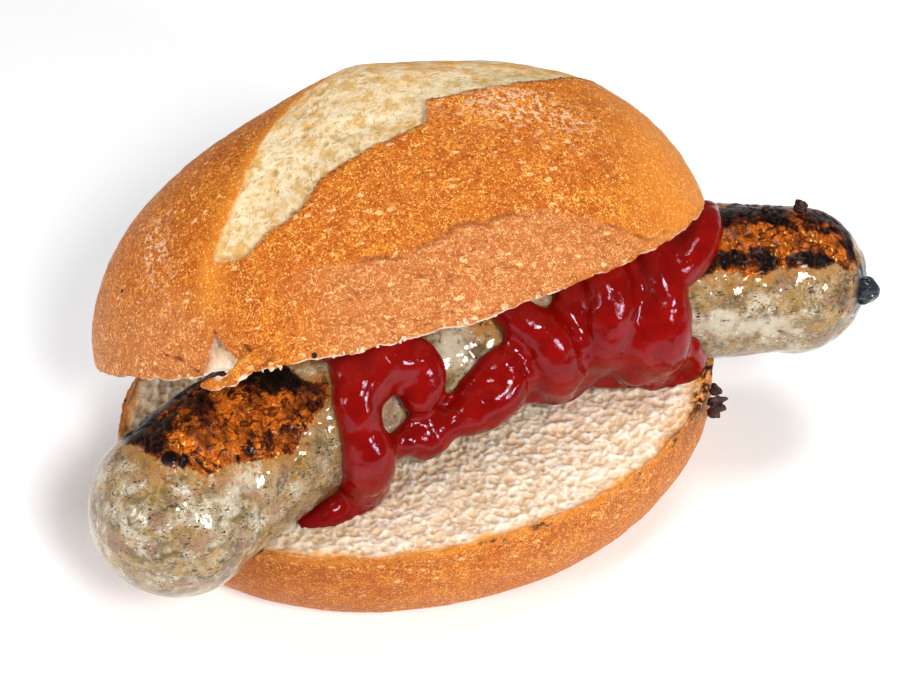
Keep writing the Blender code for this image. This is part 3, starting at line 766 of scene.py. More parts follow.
def scrap_finish(settings):
    """Burnt scraps: near black with a purple-brown cast and a dull sparkle."""
    made, tree, shader, where = finish("burnt_scrap", Roughness=0.5)
    fine = cloud(tree, where, 0.8 * MM, 4, 0.7)
    tree.links.new(blend(tree, between(tree, fine, 0.45, 0.68), settings.burnt, settings.scrap),
                   shader.inputs["Base Color"])
    tree.links.new(bump(tree, fine, 0.3 * MM), shader.inputs["Normal"])
    return made


# Settings that a user would change

def tint(name, description, colour):
    return bpy.props.FloatVectorProperty(name=name, description=description, subtype="COLOR", size=3,
                                         min=0.0, max=1.0, default=colour)


def span(name, description, value):
    return bpy.props.FloatProperty(name=name, description=description, unit="LENGTH", subtype="DISTANCE",
                                   min=0.0, default=value)


class RollSettings(bpy.types.PropertyGroup):
    crust_light: tint("Light crust", "Golden part of the crust", (0.70, 0.225, 0.018))
    crust_dark: tint("Dark crust", "Browner part of the crust", (0.50, 0.120, 0.008))
    crust_red: tint("Ruddy crust", "Broad warm patches of the crust", (0.54, 0.135, 0.012))
    crust_deep: tint("Deep crust", "Darkest grains of the crust", (0.30, 0.058, 0.004))
    crust_fleck: tint("Flecks", "Pale flecks on the crust", (0.97, 0.53, 0.13))
    flake: tint("Flakes", "Paler flakes of the crust", (0.96, 0.60, 0.30))
    band_light: tint("Light band", "Paler crust above the cut", (0.60, 0.225, 0.062))
    band_dark: tint("Dark band", "Darker lines in the paler crust", (0.41, 0.125, 0.028))
    gold: tint("Gold edge", "Smooth golden crust beside the slash", (0.76, 0.23, 0.012))
    gold_light: tint("Light gold", "Lighter part of the golden crust", (0.85, 0.38, 0.06))
    # Crack colour, also used for painted shade along the slash's edge and on the lower half's left side.
    crack_and_shade_line: tint("Crust lines", "Cracks and edges in the crust", (0.22, 0.045, 0.006))
    flour: tint("Flour", "Dusted and blistered spots", (0.9, 0.66, 0.46))
    slash: tint("Slash", "Pale floor of the opened slash", (0.85, 0.70, 0.47))
    slash_shade: tint("Slash shade", "Deeper tone of the slash", (0.70, 0.45, 0.18))
    slash_toast: tint("Slash toast", "Toasted parts of the slash", (0.84, 0.42, 0.08))
    # Painted shade inside the slash's pores, also used for its tan dashes.
    pore_shade_and_dash: tint("Slash pores", "Inside of the slash's pores", (0.50, 0.30, 0.08))
    crumb: tint("Crumb", "Tops of the crumb's tufts", (0.86, 0.78, 0.66))
    # Painted shade: the colour of the crumb's hollows.
    crumb_painted_shade: tint("Crumb shade", "Hollows of the crumb", (0.66, 0.47, 0.29))
    crumb_warm: tint("Warm crumb", "Warmer patches of the crumb", (0.78, 0.58, 0.38))
    crumb_toast: tint("Toasted crumb", "Crumb beside the crust", (0.72, 0.3, 0.05))
    burnt: tint("Burnt", "Burnt specks", (0.030, 0.012, 0.008))
    scrap: tint("Scrap", "Lighter part of the burnt scraps", (0.16, 0.045, 0.040))
    tuft_depth: span("Tuft depth", "How deep the torn crumb is", 0.75 * MM)
    crust_depth: span("Crust depth", "How uneven the crust is", 0.30 * MM)
    lip_tear: span("Lip tear", "How ragged the cut edges are", 0.45 * MM)


class SausageSettings(bpy.types.PropertyGroup):
    casing: tint("Casing", "Pale beige of the skin", (0.46, 0.31, 0.14))
    casing_green: tint("Green casing", "Greyer green of the skin", (0.15, 0.10, 0.028))
    casing_ochre: tint("Ochre casing", "Yellow-brown patches of the skin", (0.42, 0.24, 0.055))
    casing_pale: tint("Pale casing", "Whitish filling that shows through", (0.61, 0.55, 0.43))
    # Painted highlights: small bright flecks on the pale skin.
    painted_skin_glint: tint("Wet casing", "Small bright flecks of fat under the skin", (0.93, 0.90, 0.84))
    casing_pink: tint("Pink casing", "Pinkish grey of the filling", (0.34, 0.17, 0.11))
    herb: tint("Herbs", "Herb flecks in the filling", (0.035, 0.032, 0.014))
    spice: tint("Spice", "Orange spice flecks", (0.52, 0.2, 0.03))
    browned: tint("Browned", "Skin that has browned beside the grill marks", (0.44, 0.18, 0.032))
    # Painted highlights: bright glints on the grill marks.
    painted_amber_glint: tint("Glints", "Small bright bubbles of browned fat", (1.0, 0.62, 0.14))
    amber: tint("Amber", "Bright skin in the grill marks", (0.82, 0.22, 0.018))
    grilled: tint("Grilled", "Orange-brown skin of the grill marks", (0.35, 0.08, 0.007))
    roasted: tint("Roasted", "Dark brown skin in the grill marks", (0.060, 0.011, 0.003))
    char: tint("Char", "Black of the grill marks", (0.006, 0.003, 0.002))
    knot: tint("Knot", "Burnt knot of casing", (0.020, 0.024, 0.034))
    char_depth: span("Char relief", "How rough the grill marks are", 0.35 * MM)


class SauceSettings(bpy.types.PropertyGroup):
    sauce: tint("Ketchup", "Red of the ketchup", (0.265, 0.004, 0.0015))
    sauce_deep: tint("Deep ketchup", "Darker red of the ketchup", (0.15, 0.0015, 0.001))
    melt: span("Melt", "Grain at which the runs flow together", 0.42 * MM)
    fillet: span("Fillet", "How far the sauce fills the valleys between its runs", 1.3 * MM)
    wobble: span("Wobble", "How uneven the sauce's skin is", 0.24 * MM)


class StageSettings(bpy.types.PropertyGroup):
    floor: tint("Floor", "Pale floor", (0.90, 0.90, 0.90))
    floor_size: span("Floor size", "Side of the floor", 4.0)


def put_on(piece, slot, *nodes):
    """The piece rides on the roll's one body and stands for nodes, which it hides. The slot is not used."""
    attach(piece, "root")
    if nodes:
        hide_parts(*nodes)
    return piece


def smooth_path(points, step):
    """A Catmull-Rom curve through rows of numbers, with a row about every step of length."""
    points = np.array(points)
    padded = np.vstack([2 * points[0] - points[1], points, 2 * points[-1] - points[-2]])
    rows = []
    for a, b, c, d in zip(padded, padded[1:], padded[2:], padded[3:]):
        count = max(1, round(float(np.linalg.norm(c[:3] - b[:3])) / step))
        t = (np.arange(count) / count)[:, None]
        rows.append(0.5 * (2 * b + (c - a) * t + (2 * a - 5 * b + 4 * c - d) * t ** 2
                           + (3 * b - a - 3 * c + d) * t ** 3))
    return np.vstack(rows + [points[-1:]])


def tube(path, around=28, cap_rings=7):
    """A closed grid round a path of points and radii, with ball ends."""
    middle, radius = path[:, :3], path[:, 3]
    ahead = np.gradient(middle, axis=0)
    ahead /= np.linalg.norm(ahead, axis=1, keepdims=True)
    side = np.cross(ahead, [0.31, 0.17, 0.93])
    side /= np.linalg.norm(side, axis=1, keepdims=True)
    up = np.cross(ahead, side)
    turn = -np.linspace(0, 2 * math.pi, around, endpoint=False)
    circle = np.cos(turn)[None, :, None] * side[:, None] + np.sin(turn)[None, :, None] * up[:, None]
    lean = (np.arange(1, cap_rings) / cap_rings * math.pi / 2)[:, None, None]
    body = middle[:, None] + radius[:, None, None] * circle
    start = middle[0] - ahead[0] * radius[0] * np.cos(lean) + radius[0] * np.sin(lean) * circle[0]
    end = middle[-1] + ahead[-1] * radius[-1] * np.sin(lean) + radius[-1] * np.cos(lean) * circle[-1]
    return np.concatenate([start, body, end])


class BRATWURST_OT_lower_crust(bpy.types.Operator):
    """Make the lower half's crust"""
    bl_idname = "bratwurst.lower_crust"
    bl_label = "Lower crust"

    def execute(self, context):
        """A bowl: from its inner floor up the inner wall, over a ragged lip and down the bulging side."""
        settings = context.scene.bratwurst_roll
        x, y = rim_line(600, ROLL_LENGTH, ROLL_WIDTH, PLAN_POWER)
        edge = split_height(x, y)
        circle = np.stack([x, y, np.zeros_like(x)], -1)
        ragged = settings.lip_tear * crags(circle, 3.4 * MM, 4, 3)
        deep = profile(np.linspace(0.05, 0.95, 5)[:, None], edge - ROLL_CRUST)
        up = np.linspace(0, 1, 9)[:, None]
        inner = profile(0.950 + 0.026 * up, edge - ROLL_CRUST * (1 - up) ** 1.5 + ragged)
        bend = np.linspace(0, math.pi, 13)[1:-1, None]
        lip = profile(0.987 - 0.011 * np.cos(bend), edge + 0.45 * MM * np.sin(bend) + ragged)
        down = np.linspace(0, 1, 26)[:, None]
        upper = profile(0.998 + (BULGE + 0.002) * smooth(0, 1, down),
                        edge + ragged - (edge + ragged - WIDEST_HEIGHT) * down)
        sink = np.linspace(0, math.pi / 2, 66)[1:, None]
        side = profile(BASE_SHARE + (1 + BULGE - BASE_SHARE) * np.cos(sink) ** 0.9,
                       WIDEST_HEIGHT * (1 - np.sin(sink) ** 1.1) + 0 * edge)
        base = profile(BASE_SHARE * np.linspace(0.93, 0.03, 12)[:, None], 0 * edge)
        rows = np.concatenate([deep, inner, lip, upper, side, base])
        grid = np.stack([x * rows[..., 0], y * rows[..., 0], rows[..., 1]], -1)
        row = np.arange(len(rows))[:, None]
        outer = row >= len(deep) + len(inner) + 6
        skirt = outer & (row < len(rows) - 13)
        rough = (row >= len(deep) + 5) & (row < len(deep) + len(inner) + len(lip))
        lumps = 0.6 * grain(grid, 9 * MM, 5) + 0.35 * crags(grid, 2.6 * MM, 3, 6)
        torn = 0.28 * MM * crags(grid, 1.6 * MM, 3, 7)
        pit = smooth(2.2 * MM, 0.6 * MM, np.linalg.norm(grid - PIT_PLACE, axis=-1))
        push = settings.crust_depth * lumps * skirt + torn * rough - 0.5 * MM * pit
        grid = grid + outward(grid) * push[..., None]
        grid[..., 2] = np.maximum(grid[..., 2], 0.0)
        below = grid[..., 2] - edge
        low = smooth(-5 * MM, -15 * MM, below) * outer
        near_rim = smooth(-1.6 * MM, -0.2 * MM, below) * outer
        inside = np.where(outer, 0, 1) * np.ones_like(below)
        specks = 0.8 * smooth(0.50, 0.75, crags(grid, 2.2 * MM, 4, 8))
        turn = np.degrees(np.arctan2(y / ROLL_WIDTH, x / ROLL_LENGTH)) + 8 * grain(grid, 5 * MM, 9)
        right = smooth(30, 6, np.abs(turn + 18)) * smooth(-6 * MM, -1 * MM, below + 1.5 * MM * grain(
            grid, 3 * MM, 10))
        marks = dict.fromkeys(CRUST_MARKS, np.zeros_like(below)) | {
            "band": 0.15 * low, "gold": 0.5 * near_rim + 0.7 * inside * rough,
            "burn": np.maximum(np.maximum(right, specks * near_rim), 0.8 * pit),
            "crumb": 0.2 * inside * rough,
            # The line mark darkens the outer side towards the left end: painted shade.
            "line": 0.30 * skirt * smooth(5 * MM, -30 * MM, grid[..., 0]),
        }
        grid = pressed(grid, LINE, 0.15 * MM, False)
        grid[..., 2] = np.maximum(grid[..., 2], 0.0)
        piece = skin("lower_crust", grid, marks, crust_finish(settings))
        put_on(piece, "bread", "bun_bottom")
        return {"FINISHED"}


class BRATWURST_OT_lower_crumb(bpy.types.Operator):
    """Make the lower half's crumb"""
    bl_idname = "bratwurst.lower_crumb"
    bl_label = "Lower crumb"

    def execute(self, context):
        """A pillow whose top is the cut face with its torn tufts, pressed down under the sausage."""
        settings = context.scene.bratwurst_roll
        x, y = rim_line(640, ROLL_LENGTH, ROLL_WIDTH, PLAN_POWER)
        share = np.concatenate([np.linspace(0.01, 0.30, 14)[:-1], np.linspace(0.30, 0.982, 126),
                                [0.9845, 0.986, 0.985, 0.975, 0.955], np.linspace(0.9, 0.05, 5)])[:, None]
        drop = np.concatenate([np.zeros(139), [0.3, 0.9, 1.9, 3.2, 4.0], np.full(5, 4.2)])[:, None] * MM
        top = drop < 1 * MM
        px, py = x * share, y * share
        grid = np.stack([px, py, split_height(px, py)], -1)
        height = tufts(grid, 21)
        fade = 1 - 0.5 * smooth(0.95, 0.985, share)
        grid[..., 2] += settings.tuft_depth * height * fade * top - drop
        toast = smooth(0.935, 0.985, share + 0.022 * grain(grid, 3 * MM, 31)) * np.ones_like(px)
        turn = np.degrees(np.arctan2(y / ROLL_WIDTH, x / ROLL_LENGTH)) + 8 * grain(grid, 5 * MM, 9)
        right = smooth(30, 6, np.abs(turn + 18)) * smooth(0.90, 0.97, share + 0.02 * grain(grid, 2 * MM, 32))
        marks = {"height": height * fade, "toast": np.maximum(toast, 0.8 * right), "burn": right * toast}
        grid = pressed(grid, LINE, 0.1 * MM, False)
        piece = skin("lower_crumb", grid, marks, crumb_finish(settings))
        put_on(piece, "bread", "bun_bottom")
        return {"FINISHED"}


class BRATWURST_OT_upper_crust(bpy.types.Operator):
    """Make the upper half's crust with its opened slash and torn notch"""
    bl_idname = "bratwurst.upper_crust"
    bl_label = "Upper crust"

    def execute(self, context):
        """A dome by its polar angle, pushed out by the slash's ear and in by its floor, then turned in."""
        settings = context.scene.bratwurst_roll
        x, y = rim_line(600, LID_LENGTH, LID_WIDTH, LID_PLAN_POWER)
        dome, out = self.crown(x, y)
        px, py = dome[..., 0], dome[..., 1]
        ragged = 0.55 * MM * crags(dome, 3.4 * MM, 4, 41)
        push, inside, share = crown_relief(px, py, 0.7 * MM, ragged)
        floor, pore = self.slash_floor(dome, 1 - smooth(-8 * MM, 12 * MM, px))
        band, line = self.band_and_cracks(dome)
        lumps = 0.55 * grain(dome, 9 * MM, 48) + 0.35 * crags(dome, 2.4 * MM, 3, 49)
        push = push + inside * floor + (1 - inside) * settings.crust_depth * lumps
        push = push - 0.40 * MM * band - 0.35 * MM * line
        dome = dome + out * push[..., None]
        circle = np.stack([x, y, np.zeros_like(x)], -1)
        teeth = settings.lip_tear * crags(circle, 3.0 * MM, 4, 51)
        dome[..., 2] += teeth * smooth(3 * MM, 0, dome[..., 2])
        under = self.turned_in(x, y, teeth)
        grid = np.concatenate([dome, under])
        hole = notch(grid, 0.45 * MM * crags(grid, 2.2 * MM, 3, 55))
        grid = grid + 2.8 * MM * hole[..., None] * NOTCH_INWARD
        top = np.arange(len(grid))[:, None] < len(dome)

        def over(values):
            return np.concatenate([values, np.zeros(under.shape[:2])])

        torn = ~top * 0.75 * smooth(-0.5, 0.3, crags(grid, 2.0 * MM, 3, 56))
        gold, rosy = self.tones(dome, px, py)
        ledge = 0.6 * smooth(3 * MM, 0, off_line(dome[..., :2], SLASH_LEDGE))
        dust = sum(np.exp(-(((px - at) / wide) ** 2 + ((py - across) / deep) ** 2))
                   for at, across, wide, deep in DUSTED)
        # A dark line just in front of the slash's front edge, under its ear: painted shadow, drawn in the
        # crack colour through the line mark.
        gap = np.abs(py - np.interp(px, *np.transpose(SLASH_FRONT)) - ragged)
        shadow = smooth(0.9 * MM, 0.1 * MM, gap) * (1 - inside) * smooth(-30 * MM, -20 * MM, px)
        marks = {
            "band": over(np.maximum(band, rosy)), "gold": over(np.clip(gold * (1 - inside), 0, 1)),
            "slash": over(inside), "crumb": np.clip(torn + hole, 0, 1),
            "flour": over(np.clip(dust, 0, 0.8)),
            "toast": over(np.clip(0.9 * smooth(0.25, 0.8, share) * smooth(-12 * MM, 26 * MM, px)
                                  + 0.6 * smooth(0.75, 1, share) + ledge, 0, 1)),
            "pore": over(pore), "burn": over(0 * px),
            "line": over(np.maximum(line, 0.495 * shadow)),
        }
        lower = ~top[:, 0]
        grid[lower] = pressed(grid[lower], moved(LINE, lid_pose().inverted()), 0.15 * MM, True)
        piece = skin("upper_crust", moved(grid, lid_pose()), marks, crust_finish(settings))
        put_on(piece, "bread", "bun_top")
        return {"FINISHED"}

    @staticmethod
    def crown(x, y):
        """The dome over the rim, fuller to the right, to the back and at its ends, and its outward way."""
        half = np.array([LID_LENGTH / 2, LID_WIDTH / 2, CROWN_HEIGHT])
        lean = (np.linspace(0.02, 1, 144) * math.pi / 2)[:, None]
        px, py = x * np.sin(lean) ** CROWN_SPREAD, y * np.sin(lean) ** CROWN_SPREAD
        u, v = px / half[0], py / half[1]
        full = 1 + CROWN_LEAN_RIGHT * u - CROWN_LEAN_FRONT * v + CROWN_FULL_ENDS * u ** 2
        dome = np.stack([px, py, CROWN_HEIGHT * np.maximum(np.cos(lean), 0) ** CROWN_FALL * full], -1)
        out = dome / half ** 2
        return dome, out / np.linalg.norm(out, axis=-1, keepdims=True)

    @staticmethod
    def slash_floor(dome, left):
        """Relief of the slash's floor: torn folds, large pores at the left and small ones throughout."""
        pits = bubbles(dome * [0.8, 1.1, 1.0], 2.0 * MM, 43)
        pore = smooth(0.45, 0.20, pits) * smooth(-0.2, 0.5, grain(dome, 3.5 * MM, 44)) * left
        small = smooth(0.45, 0.20, bubbles(dome * [0.7, 1.1, 1.0], 1.1 * MM, 53)) * (0.25 + 0.75 * left)
        along = dome @ np.array([[0.10, -0.35, 0], [0.35, 1.0, 0], [0, 0, 1.0]]).T
        floor = 0.18 * MM * crags(along, 2.4 * MM, 3, 45) + 0.25 * MM * grain(along, 6 * MM, 54)
        return floor - 0.7 * MM * pore - 0.12 * MM * small, np.maximum(pore, 0.35 * small)

    @staticmethod
    def band_and_cracks(dome):
        """The paler band above the front rim, and the fine line of its upper edge and of the cracks."""
        px, py = dome[..., 0], dome[..., 1]
        height = np.interp(px, *np.transpose(BAND_EDGE)) + 0.5 * MM * crags(dome, 5 * MM, 3, 47)
        front = smooth(-2 * MM, -14 * MM, py) * smooth(-26 * MM, -10 * MM, px)
        band = smooth(0.35 * MM, -0.25 * MM, dome[..., 2] - height) * front
        line = smooth(0.55 * MM, 0.0, np.abs(dome[..., 2] - height + 0.1 * MM)) * front
        line = 0.8 * line * smooth(-0.1, 0.5, grain(dome, 5 * MM, 50))
        for crack in CRACKS:
            off = off_line(dome, crack) + 0.2 * MM * grain(dome, 1.2 * MM, 52)
            line = np.maximum(line, smooth(0.42 * MM, 0.15 * MM, off))
        return band, line

    @staticmethod
    def turned_in(x, y, teeth):
        """The crust's torn lip, its inner wall and its hidden inner face."""
        bend = np.linspace(0, math.pi, 8)[1:-1, None]
        lip = profile(0.991 + 0.009 * np.cos(bend), -0.35 * MM * np.sin(bend) + teeth)
        rise = np.linspace(0, 1, 6)[:, None]
        inner = profile(0.982 - 0.03 * rise, LID_CRUST * rise + teeth * (1 - rise))
        floor = profile(np.linspace(0.9, 0.05, 4)[:, None], LID_CRUST + 0 * x)
        rows = np.concatenate([lip, inner, floor])
        return np.stack([x * rows[..., 0], y * rows[..., 0], rows[..., 1]], -1)

    @staticmethod
    def tones(dome, px, py):
        """The gold beside the slash and at the right end, and the rosier crust of the left end."""
        ahead = px - np.interp(py, [-0.0255, -0.0125, -0.002, 0.006], [-0.033, -0.020, -0.007, 0.012])
        behind = np.abs(py - np.interp(px, *np.transpose(SLASH_BACK)))
        gold = smooth(-5.5 * MM, -0.5 * MM, ahead) * smooth(7 * MM, 0, behind) * (px < 30 * MM)
        bright = 0.80 * smooth(38 * MM, 52 * MM, px + 3 * MM * grain(dome, 8 * MM, 58))
        rosy = 0.75 * smooth(-28 * MM, -42 * MM, px + 4 * MM * grain(dome, 9 * MM, 57))
        rosy = rosy * smooth(17 * MM, 8 * MM, dome[..., 2]) * smooth(8 * MM, -6 * MM, py)
        return np.maximum(0.8 * gold, bright), rosy


class BRATWURST_OT_upper_crumb(bpy.types.Operator):
    """Make the upper half's crumb"""
    bl_idname = "bratwurst.upper_crumb"
    bl_label = "Upper crumb"

    def execute(self, context):
        """A pillow whose underside is the cut face, its tufts hanging and hollowed over the sausage."""
        settings = context.scene.bratwurst_roll
        x, y = rim_line(560, LID_LENGTH, LID_WIDTH, LID_PLAN_POWER)
        share = np.concatenate([np.linspace(0.05, 0.9, 5), [0.945, 0.958, 0.968, 0.976, 0.979],
                                np.linspace(0.976, 0.01, 120)])[:, None]
        lift = np.concatenate([np.full(5, 4.2), [4.0, 3.2, 2.2, 1.2, 0.5], np.zeros(120)])[:, None] * MM
        under = lift < 4.1 * MM
        px, py = x * share, y * share
        grid = np.stack([px, py, HOLLOW * (1 - share ** 2) + lift + 0 * px], -1)
        height = tufts(grid, 61)
        fade = 1 - 0.6 * smooth(0.93, 0.975, share)
        grid[..., 2] -= settings.tuft_depth * height * fade * under
        hole = notch(grid, 0.45 * MM * crags(grid, 2.2 * MM, 3, 55))
        grid = grid + 1.2 * MM * hole[..., None] * NOTCH_INWARD
        toast = smooth(0.95, 0.975, share + 0.02 * grain(grid, 3 * MM, 63)) * np.ones_like(px) * (1 - hole)
        marks = {"height": height * fade, "toast": 0.5 * toast, "burn": 0 * toast}
        grid = pressed(grid, moved(LINE, lid_pose().inverted()), 0.1 * MM, True)
        piece = skin("upper_crumb", moved(grid, lid_pose()), marks, crumb_finish(settings))
        put_on(piece, "bread", "bun_top")
        return {"FINISHED"}


class BRATWURST_OT_tongue(bpy.types.Operator):
    """Make the strip of crust that curls across the tear"""
    bl_idname = "bratwurst.tongue"
    bl_label = "Torn tongue"

    def execute(self, context):
        """A flattened tube along a bent path: its rings keep their width and lose their thickness."""
        settings = context.scene.bratwurst_roll
        path = smooth_path(TONGUE, 0.2 * MM)
        path[:, :3] -= 0.0004 * NOTCH_INWARD
        grid = tube(path, 36, 9)
        middle = np.concatenate([path[:1].repeat(8, 0), path, path[-1:].repeat(8, 0)])[:, None, :3]
        flat = np.array([0.30, 0.72, -0.62])
        off = grid - middle
        off = off - 0.72 * (off @ flat)[..., None] * flat
        rough = crags(grid, 1.8 * MM, 4, 57)
        grid = middle + off * (1 + 0.40 * rough)[..., None]
        grid = grid - 0.35 * MM * flat * crags(grid, 3 * MM, 2, 58)[..., None]
        inner = smooth(-0.1, 0.3, (grid - middle) @ flat / (0.3 * MM))
        zero = np.zeros_like(inner)
        marks = dict.fromkeys(CRUST_MARKS, zero) | {"gold": 0.2 + zero, "crumb": 0.8 * inner,
                                                    "line": 0.35 * smooth(0.1, 0.5, rough)}
        piece = skin("torn_tongue", moved(grid, lid_pose()), marks, crust_finish(settings))
        put_on(piece, "bread")
        return {"FINISHED"}


class BRATWURST_OT_scraps(bpy.types.Operator):
    """Make the burnt scraps and the loose crumbs"""
    bl_idname = "bratwurst.scraps"
    bl_label = "Scraps"

    def execute(self, context):
        """Balls by their two angles, stretched and roughened, some on the rim and some on the sausage."""
        settings = context.scene.bratwurst_roll
        burnt = [self.lump(place, size, 101 + k) for k, (place, size) in enumerate(RIM_SCRAPS)]
        for along, angle, size in SKIN_SCRAPS:
            spot = on_casing(along, angle, 0.4 * size)
            burnt.append(self.lump(spot, (size, size, 0.8 * size), 111 + len(burnt)))
        piece = solid("burnt_scraps", *joined(burnt), {}, scrap_finish(settings))
        put_on(piece, "bread")
        crumbs = []
        generator = np.random.default_rng(7)
        pose = lid_pose()
        for turn in generator.uniform(math.radians(222), math.radians(292), 26):
            x = math.copysign(abs(math.cos(turn)) ** (2 / LID_PLAN_POWER), math.cos(turn)) * LID_LENGTH / 2
            y = math.copysign(abs(math.sin(turn)) ** (2 / LID_PLAN_POWER), math.sin(turn)) * LID_WIDTH / 2
            size = generator.uniform(0.15, 0.5, 3) * MM
            spot = pose @ Vector((x * 0.996, y * 0.996, generator.uniform(-0.5, 0.6) * MM))
            crumbs.append(self.lump(spot, size, int(generator.integers(200, 900))))
        rows = sum(grid.shape[0] * grid.shape[1] + 2 for grid in crumbs)
        marks = {"height": np.full(rows, 0.4), "toast": np.full(rows, 0.35), "burn": np.zeros(rows)}
        piece = solid("loose_crumbs", *joined(crumbs), marks, crumb_finish(settings))
        put_on(piece, "bread")
        return {"FINISHED"}

    @staticmethod
    def lump(place, size, seed, rows=20, around=30):
        lean = np.linspace(0.06, math.pi - 0.06, rows)[:, None]
        turn = np.linspace(0, 2 * math.pi, around, endpoint=False)
        ball = np.stack(np.broadcast_arrays(np.sin(lean) * np.cos(turn), np.sin(lean) * np.sin(turn),
                                            np.cos(lean)), -1)
        rough = 1 + 0.75 * crags(ball + seed * 7.3, 1.1, 3, seed)
        return np.array(place) + ball * np.array(size) * rough[..., None]


class BRATWURST_OT_sausage(bpy.types.Operator):
    """Make the sausage's skin"""
    bl_idname = "bratwurst.sausage"
    bl_label = "Sausage"

    def execute(self, context):
        """A tube by distance and angle, pushed by its wrinkles, blister, char and the folds at its knot."""
        settings = context.scene.bratwurst_sausage
        turn = -np.linspace(0, 2 * math.pi, SKIN_AROUND, endpoint=False)
        middles, ways, sides, radii, distance = self.rings()
        tops = np.cross(sides, ways)
        circle = np.cos(turn)[None, :, None] * tops[:, None] + np.sin(turn)[None, :, None] * sides[:, None]
        grid = middles[:, None] + radii[:, None, None] * circle
        angle = np.degrees(np.arctan2(np.sin(turn), np.cos(turn)))[None, :] + 0 * distance
        far_end = SAUSAGE_RUN + float(casing_radius(SAUSAGE_RUN))
        depth, dark = self.grill_marks(grid, distance, angle)
        grill = smooth(-1.0 * MM, 1.2 * MM, depth)
        end_tint = smooth(SAUSAGE_RUN + 1 * MM, far_end, distance) * smooth(110, 20, np.abs(angle))
        halo = np.maximum(smooth(-6 * MM, 0.5 * MM, depth), 0.75 * end_tint)
        fat = np.zeros_like(angle)
        for at, way_round, long, wide in FAT_PATCHES:
            fat = np.maximum(fat, np.exp(-((distance - at * MM) / (long * MM)) ** 2
                                         - ((angle - way_round) / wide) ** 2))
        veins, blots = self.seared(grid, distance, angle)
        rim = smooth(5.0 * MM, 1.0 * MM, depth) * grill
        spot = np.hypot(distance - BLISTER[0], np.radians(angle - BLISTER[1]) * NEAR_RADIUS) / BLISTER[2]
        blister = smooth(1.0, 0.4, spot)
        tip_burn = smooth(6 * MM, 1 * MM, np.abs(distance - far_end)) * smooth(-0.4, 0.3, blots)
        char = grill * smooth(-0.10, 1.15, 0.45 * rim + 0.60 * dark + 0.50 * veins + 0.60 * blots)
        char = np.maximum(np.maximum(char, 0.45 * tip_burn), 1.4 * blister)
        knotted = smooth(far_end - 1.2 * MM, far_end - 0.2 * MM, distance) + 0 * angle
        wrinkles = crags(grid, 3.0 * MM, 4, 73)
        relief = 0.15 * MM * wrinkles + 0.20 * MM * grain(grid, 5 * MM, 78)
        relief += settings.char_depth * grill * (0.8 * blots - 0.7 * veins)
        relief += 0.35 * MM * grain(grid, 14 * MM, 79) + 0.75 * MM * blister
        pinch = smooth(6 * MM, 0.5 * MM, np.abs(distance - far_end))
        relief += 0.40 * MM * np.sin(np.radians(angle) * 9 + 2 * wrinkles) * pinch
        relief += 0.45 * MM * np.sin(np.radians(angle) * 6 + distance / (0.6 * MM)) * knotted
        calm = np.clip(radii / (6 * MM), 0.25, 1)[:, None]
        grid = grid + circle * (relief * calm)[..., None]
        marks = {"grill": grill, "halo": halo, "char": char, "knot": knotted, "fat": fat}
        piece = skin("sausage_skin", grid, marks, casing_finish(settings))
        put_on(piece, "casing", "sausage")
        return {"FINISHED"}

    @staticmethod
    def rings():
        """Middle, way, side, radius and distance of each ring: near cap, body, far cap and knot."""
        near, far = float(casing_radius(0)), float(casing_radius(SAUSAGE_RUN))
        start, ahead, side, _ = frame_at(0.0)
        end, onward, front, top = frame_at(SAUSAGE_RUN)
        tip = onward * FAR_TIP[0] + front * FAR_TIP[1] + top * FAR_TIP[2]
        tip /= np.linalg.norm(tip)
        along = np.linspace(0, SAUSAGE_RUN, SKIN_STATIONS)
        middle, way, fronts, _ = frame_at(along)
        lean = (np.arange(1, SKIN_CAP_RINGS) / SKIN_CAP_RINGS * math.pi / 2)[:, None]
        out = onward + (tip - onward) * np.sin(lean)
        out /= np.linalg.norm(out, axis=1, keepdims=True)
        reach = np.linspace(0, 1, 14)[:, None]
        swell = 1 + 0.18 * np.sin(math.pi * reach) - 0.75 * reach ** 4
        back = lean[::-1]
        middles = np.concatenate([start - ahead * near * np.sin(back), middle, end + out * far * np.sin(lean),
                                  end + tip * (far + KNOT_LENGTH * (reach - 0.3))])
        ways = np.concatenate([np.tile(ahead, (len(lean), 1)), way, out, np.tile(tip, (len(reach), 1))])
        sides = np.concatenate([np.tile(side, (len(lean), 1)), fronts,
                                np.tile(front, (len(lean) + len(reach), 1))])
        sides = sides - ways * (sides * ways).sum(1, keepdims=True)
        sides /= np.linalg.norm(sides, axis=1, keepdims=True)
        radii = np.concatenate([near * np.cos(back), casing_radius(along)[:, None], far * np.cos(lean),
                                KNOT_RADIUS * swell])[:, 0]
        distance = np.concatenate([-near * np.sin(back), along[:, None], SAUSAGE_RUN + far * np.sin(lean),
                                   SAUSAGE_RUN + far + KNOT_LENGTH * reach])
        return middles, ways, sides, radii, distance

    @staticmethod
    def grill_marks(grid, distance, angle):
        """How deep each point lies inside a grill mark, and how black the mark is there."""
        ragged = 1.5 * MM * crags(grid, 6 * MM, 4, 71)
        depth = np.full(angle.shape, -1.0)
        dark = np.zeros_like(angle)
        for centre, outline in GRILL_MARKS:
            off = (angle - centre + 180) % 360 - 180
            flat = np.stack([distance + 0 * angle, np.radians(off) * MARK_RADIUS], -1)
            corners = tuple((x * MM, math.radians(y) * MARK_RADIUS) for x, y in outline)
            depth = np.maximum(depth, depth_in(flat, corners) + ragged)
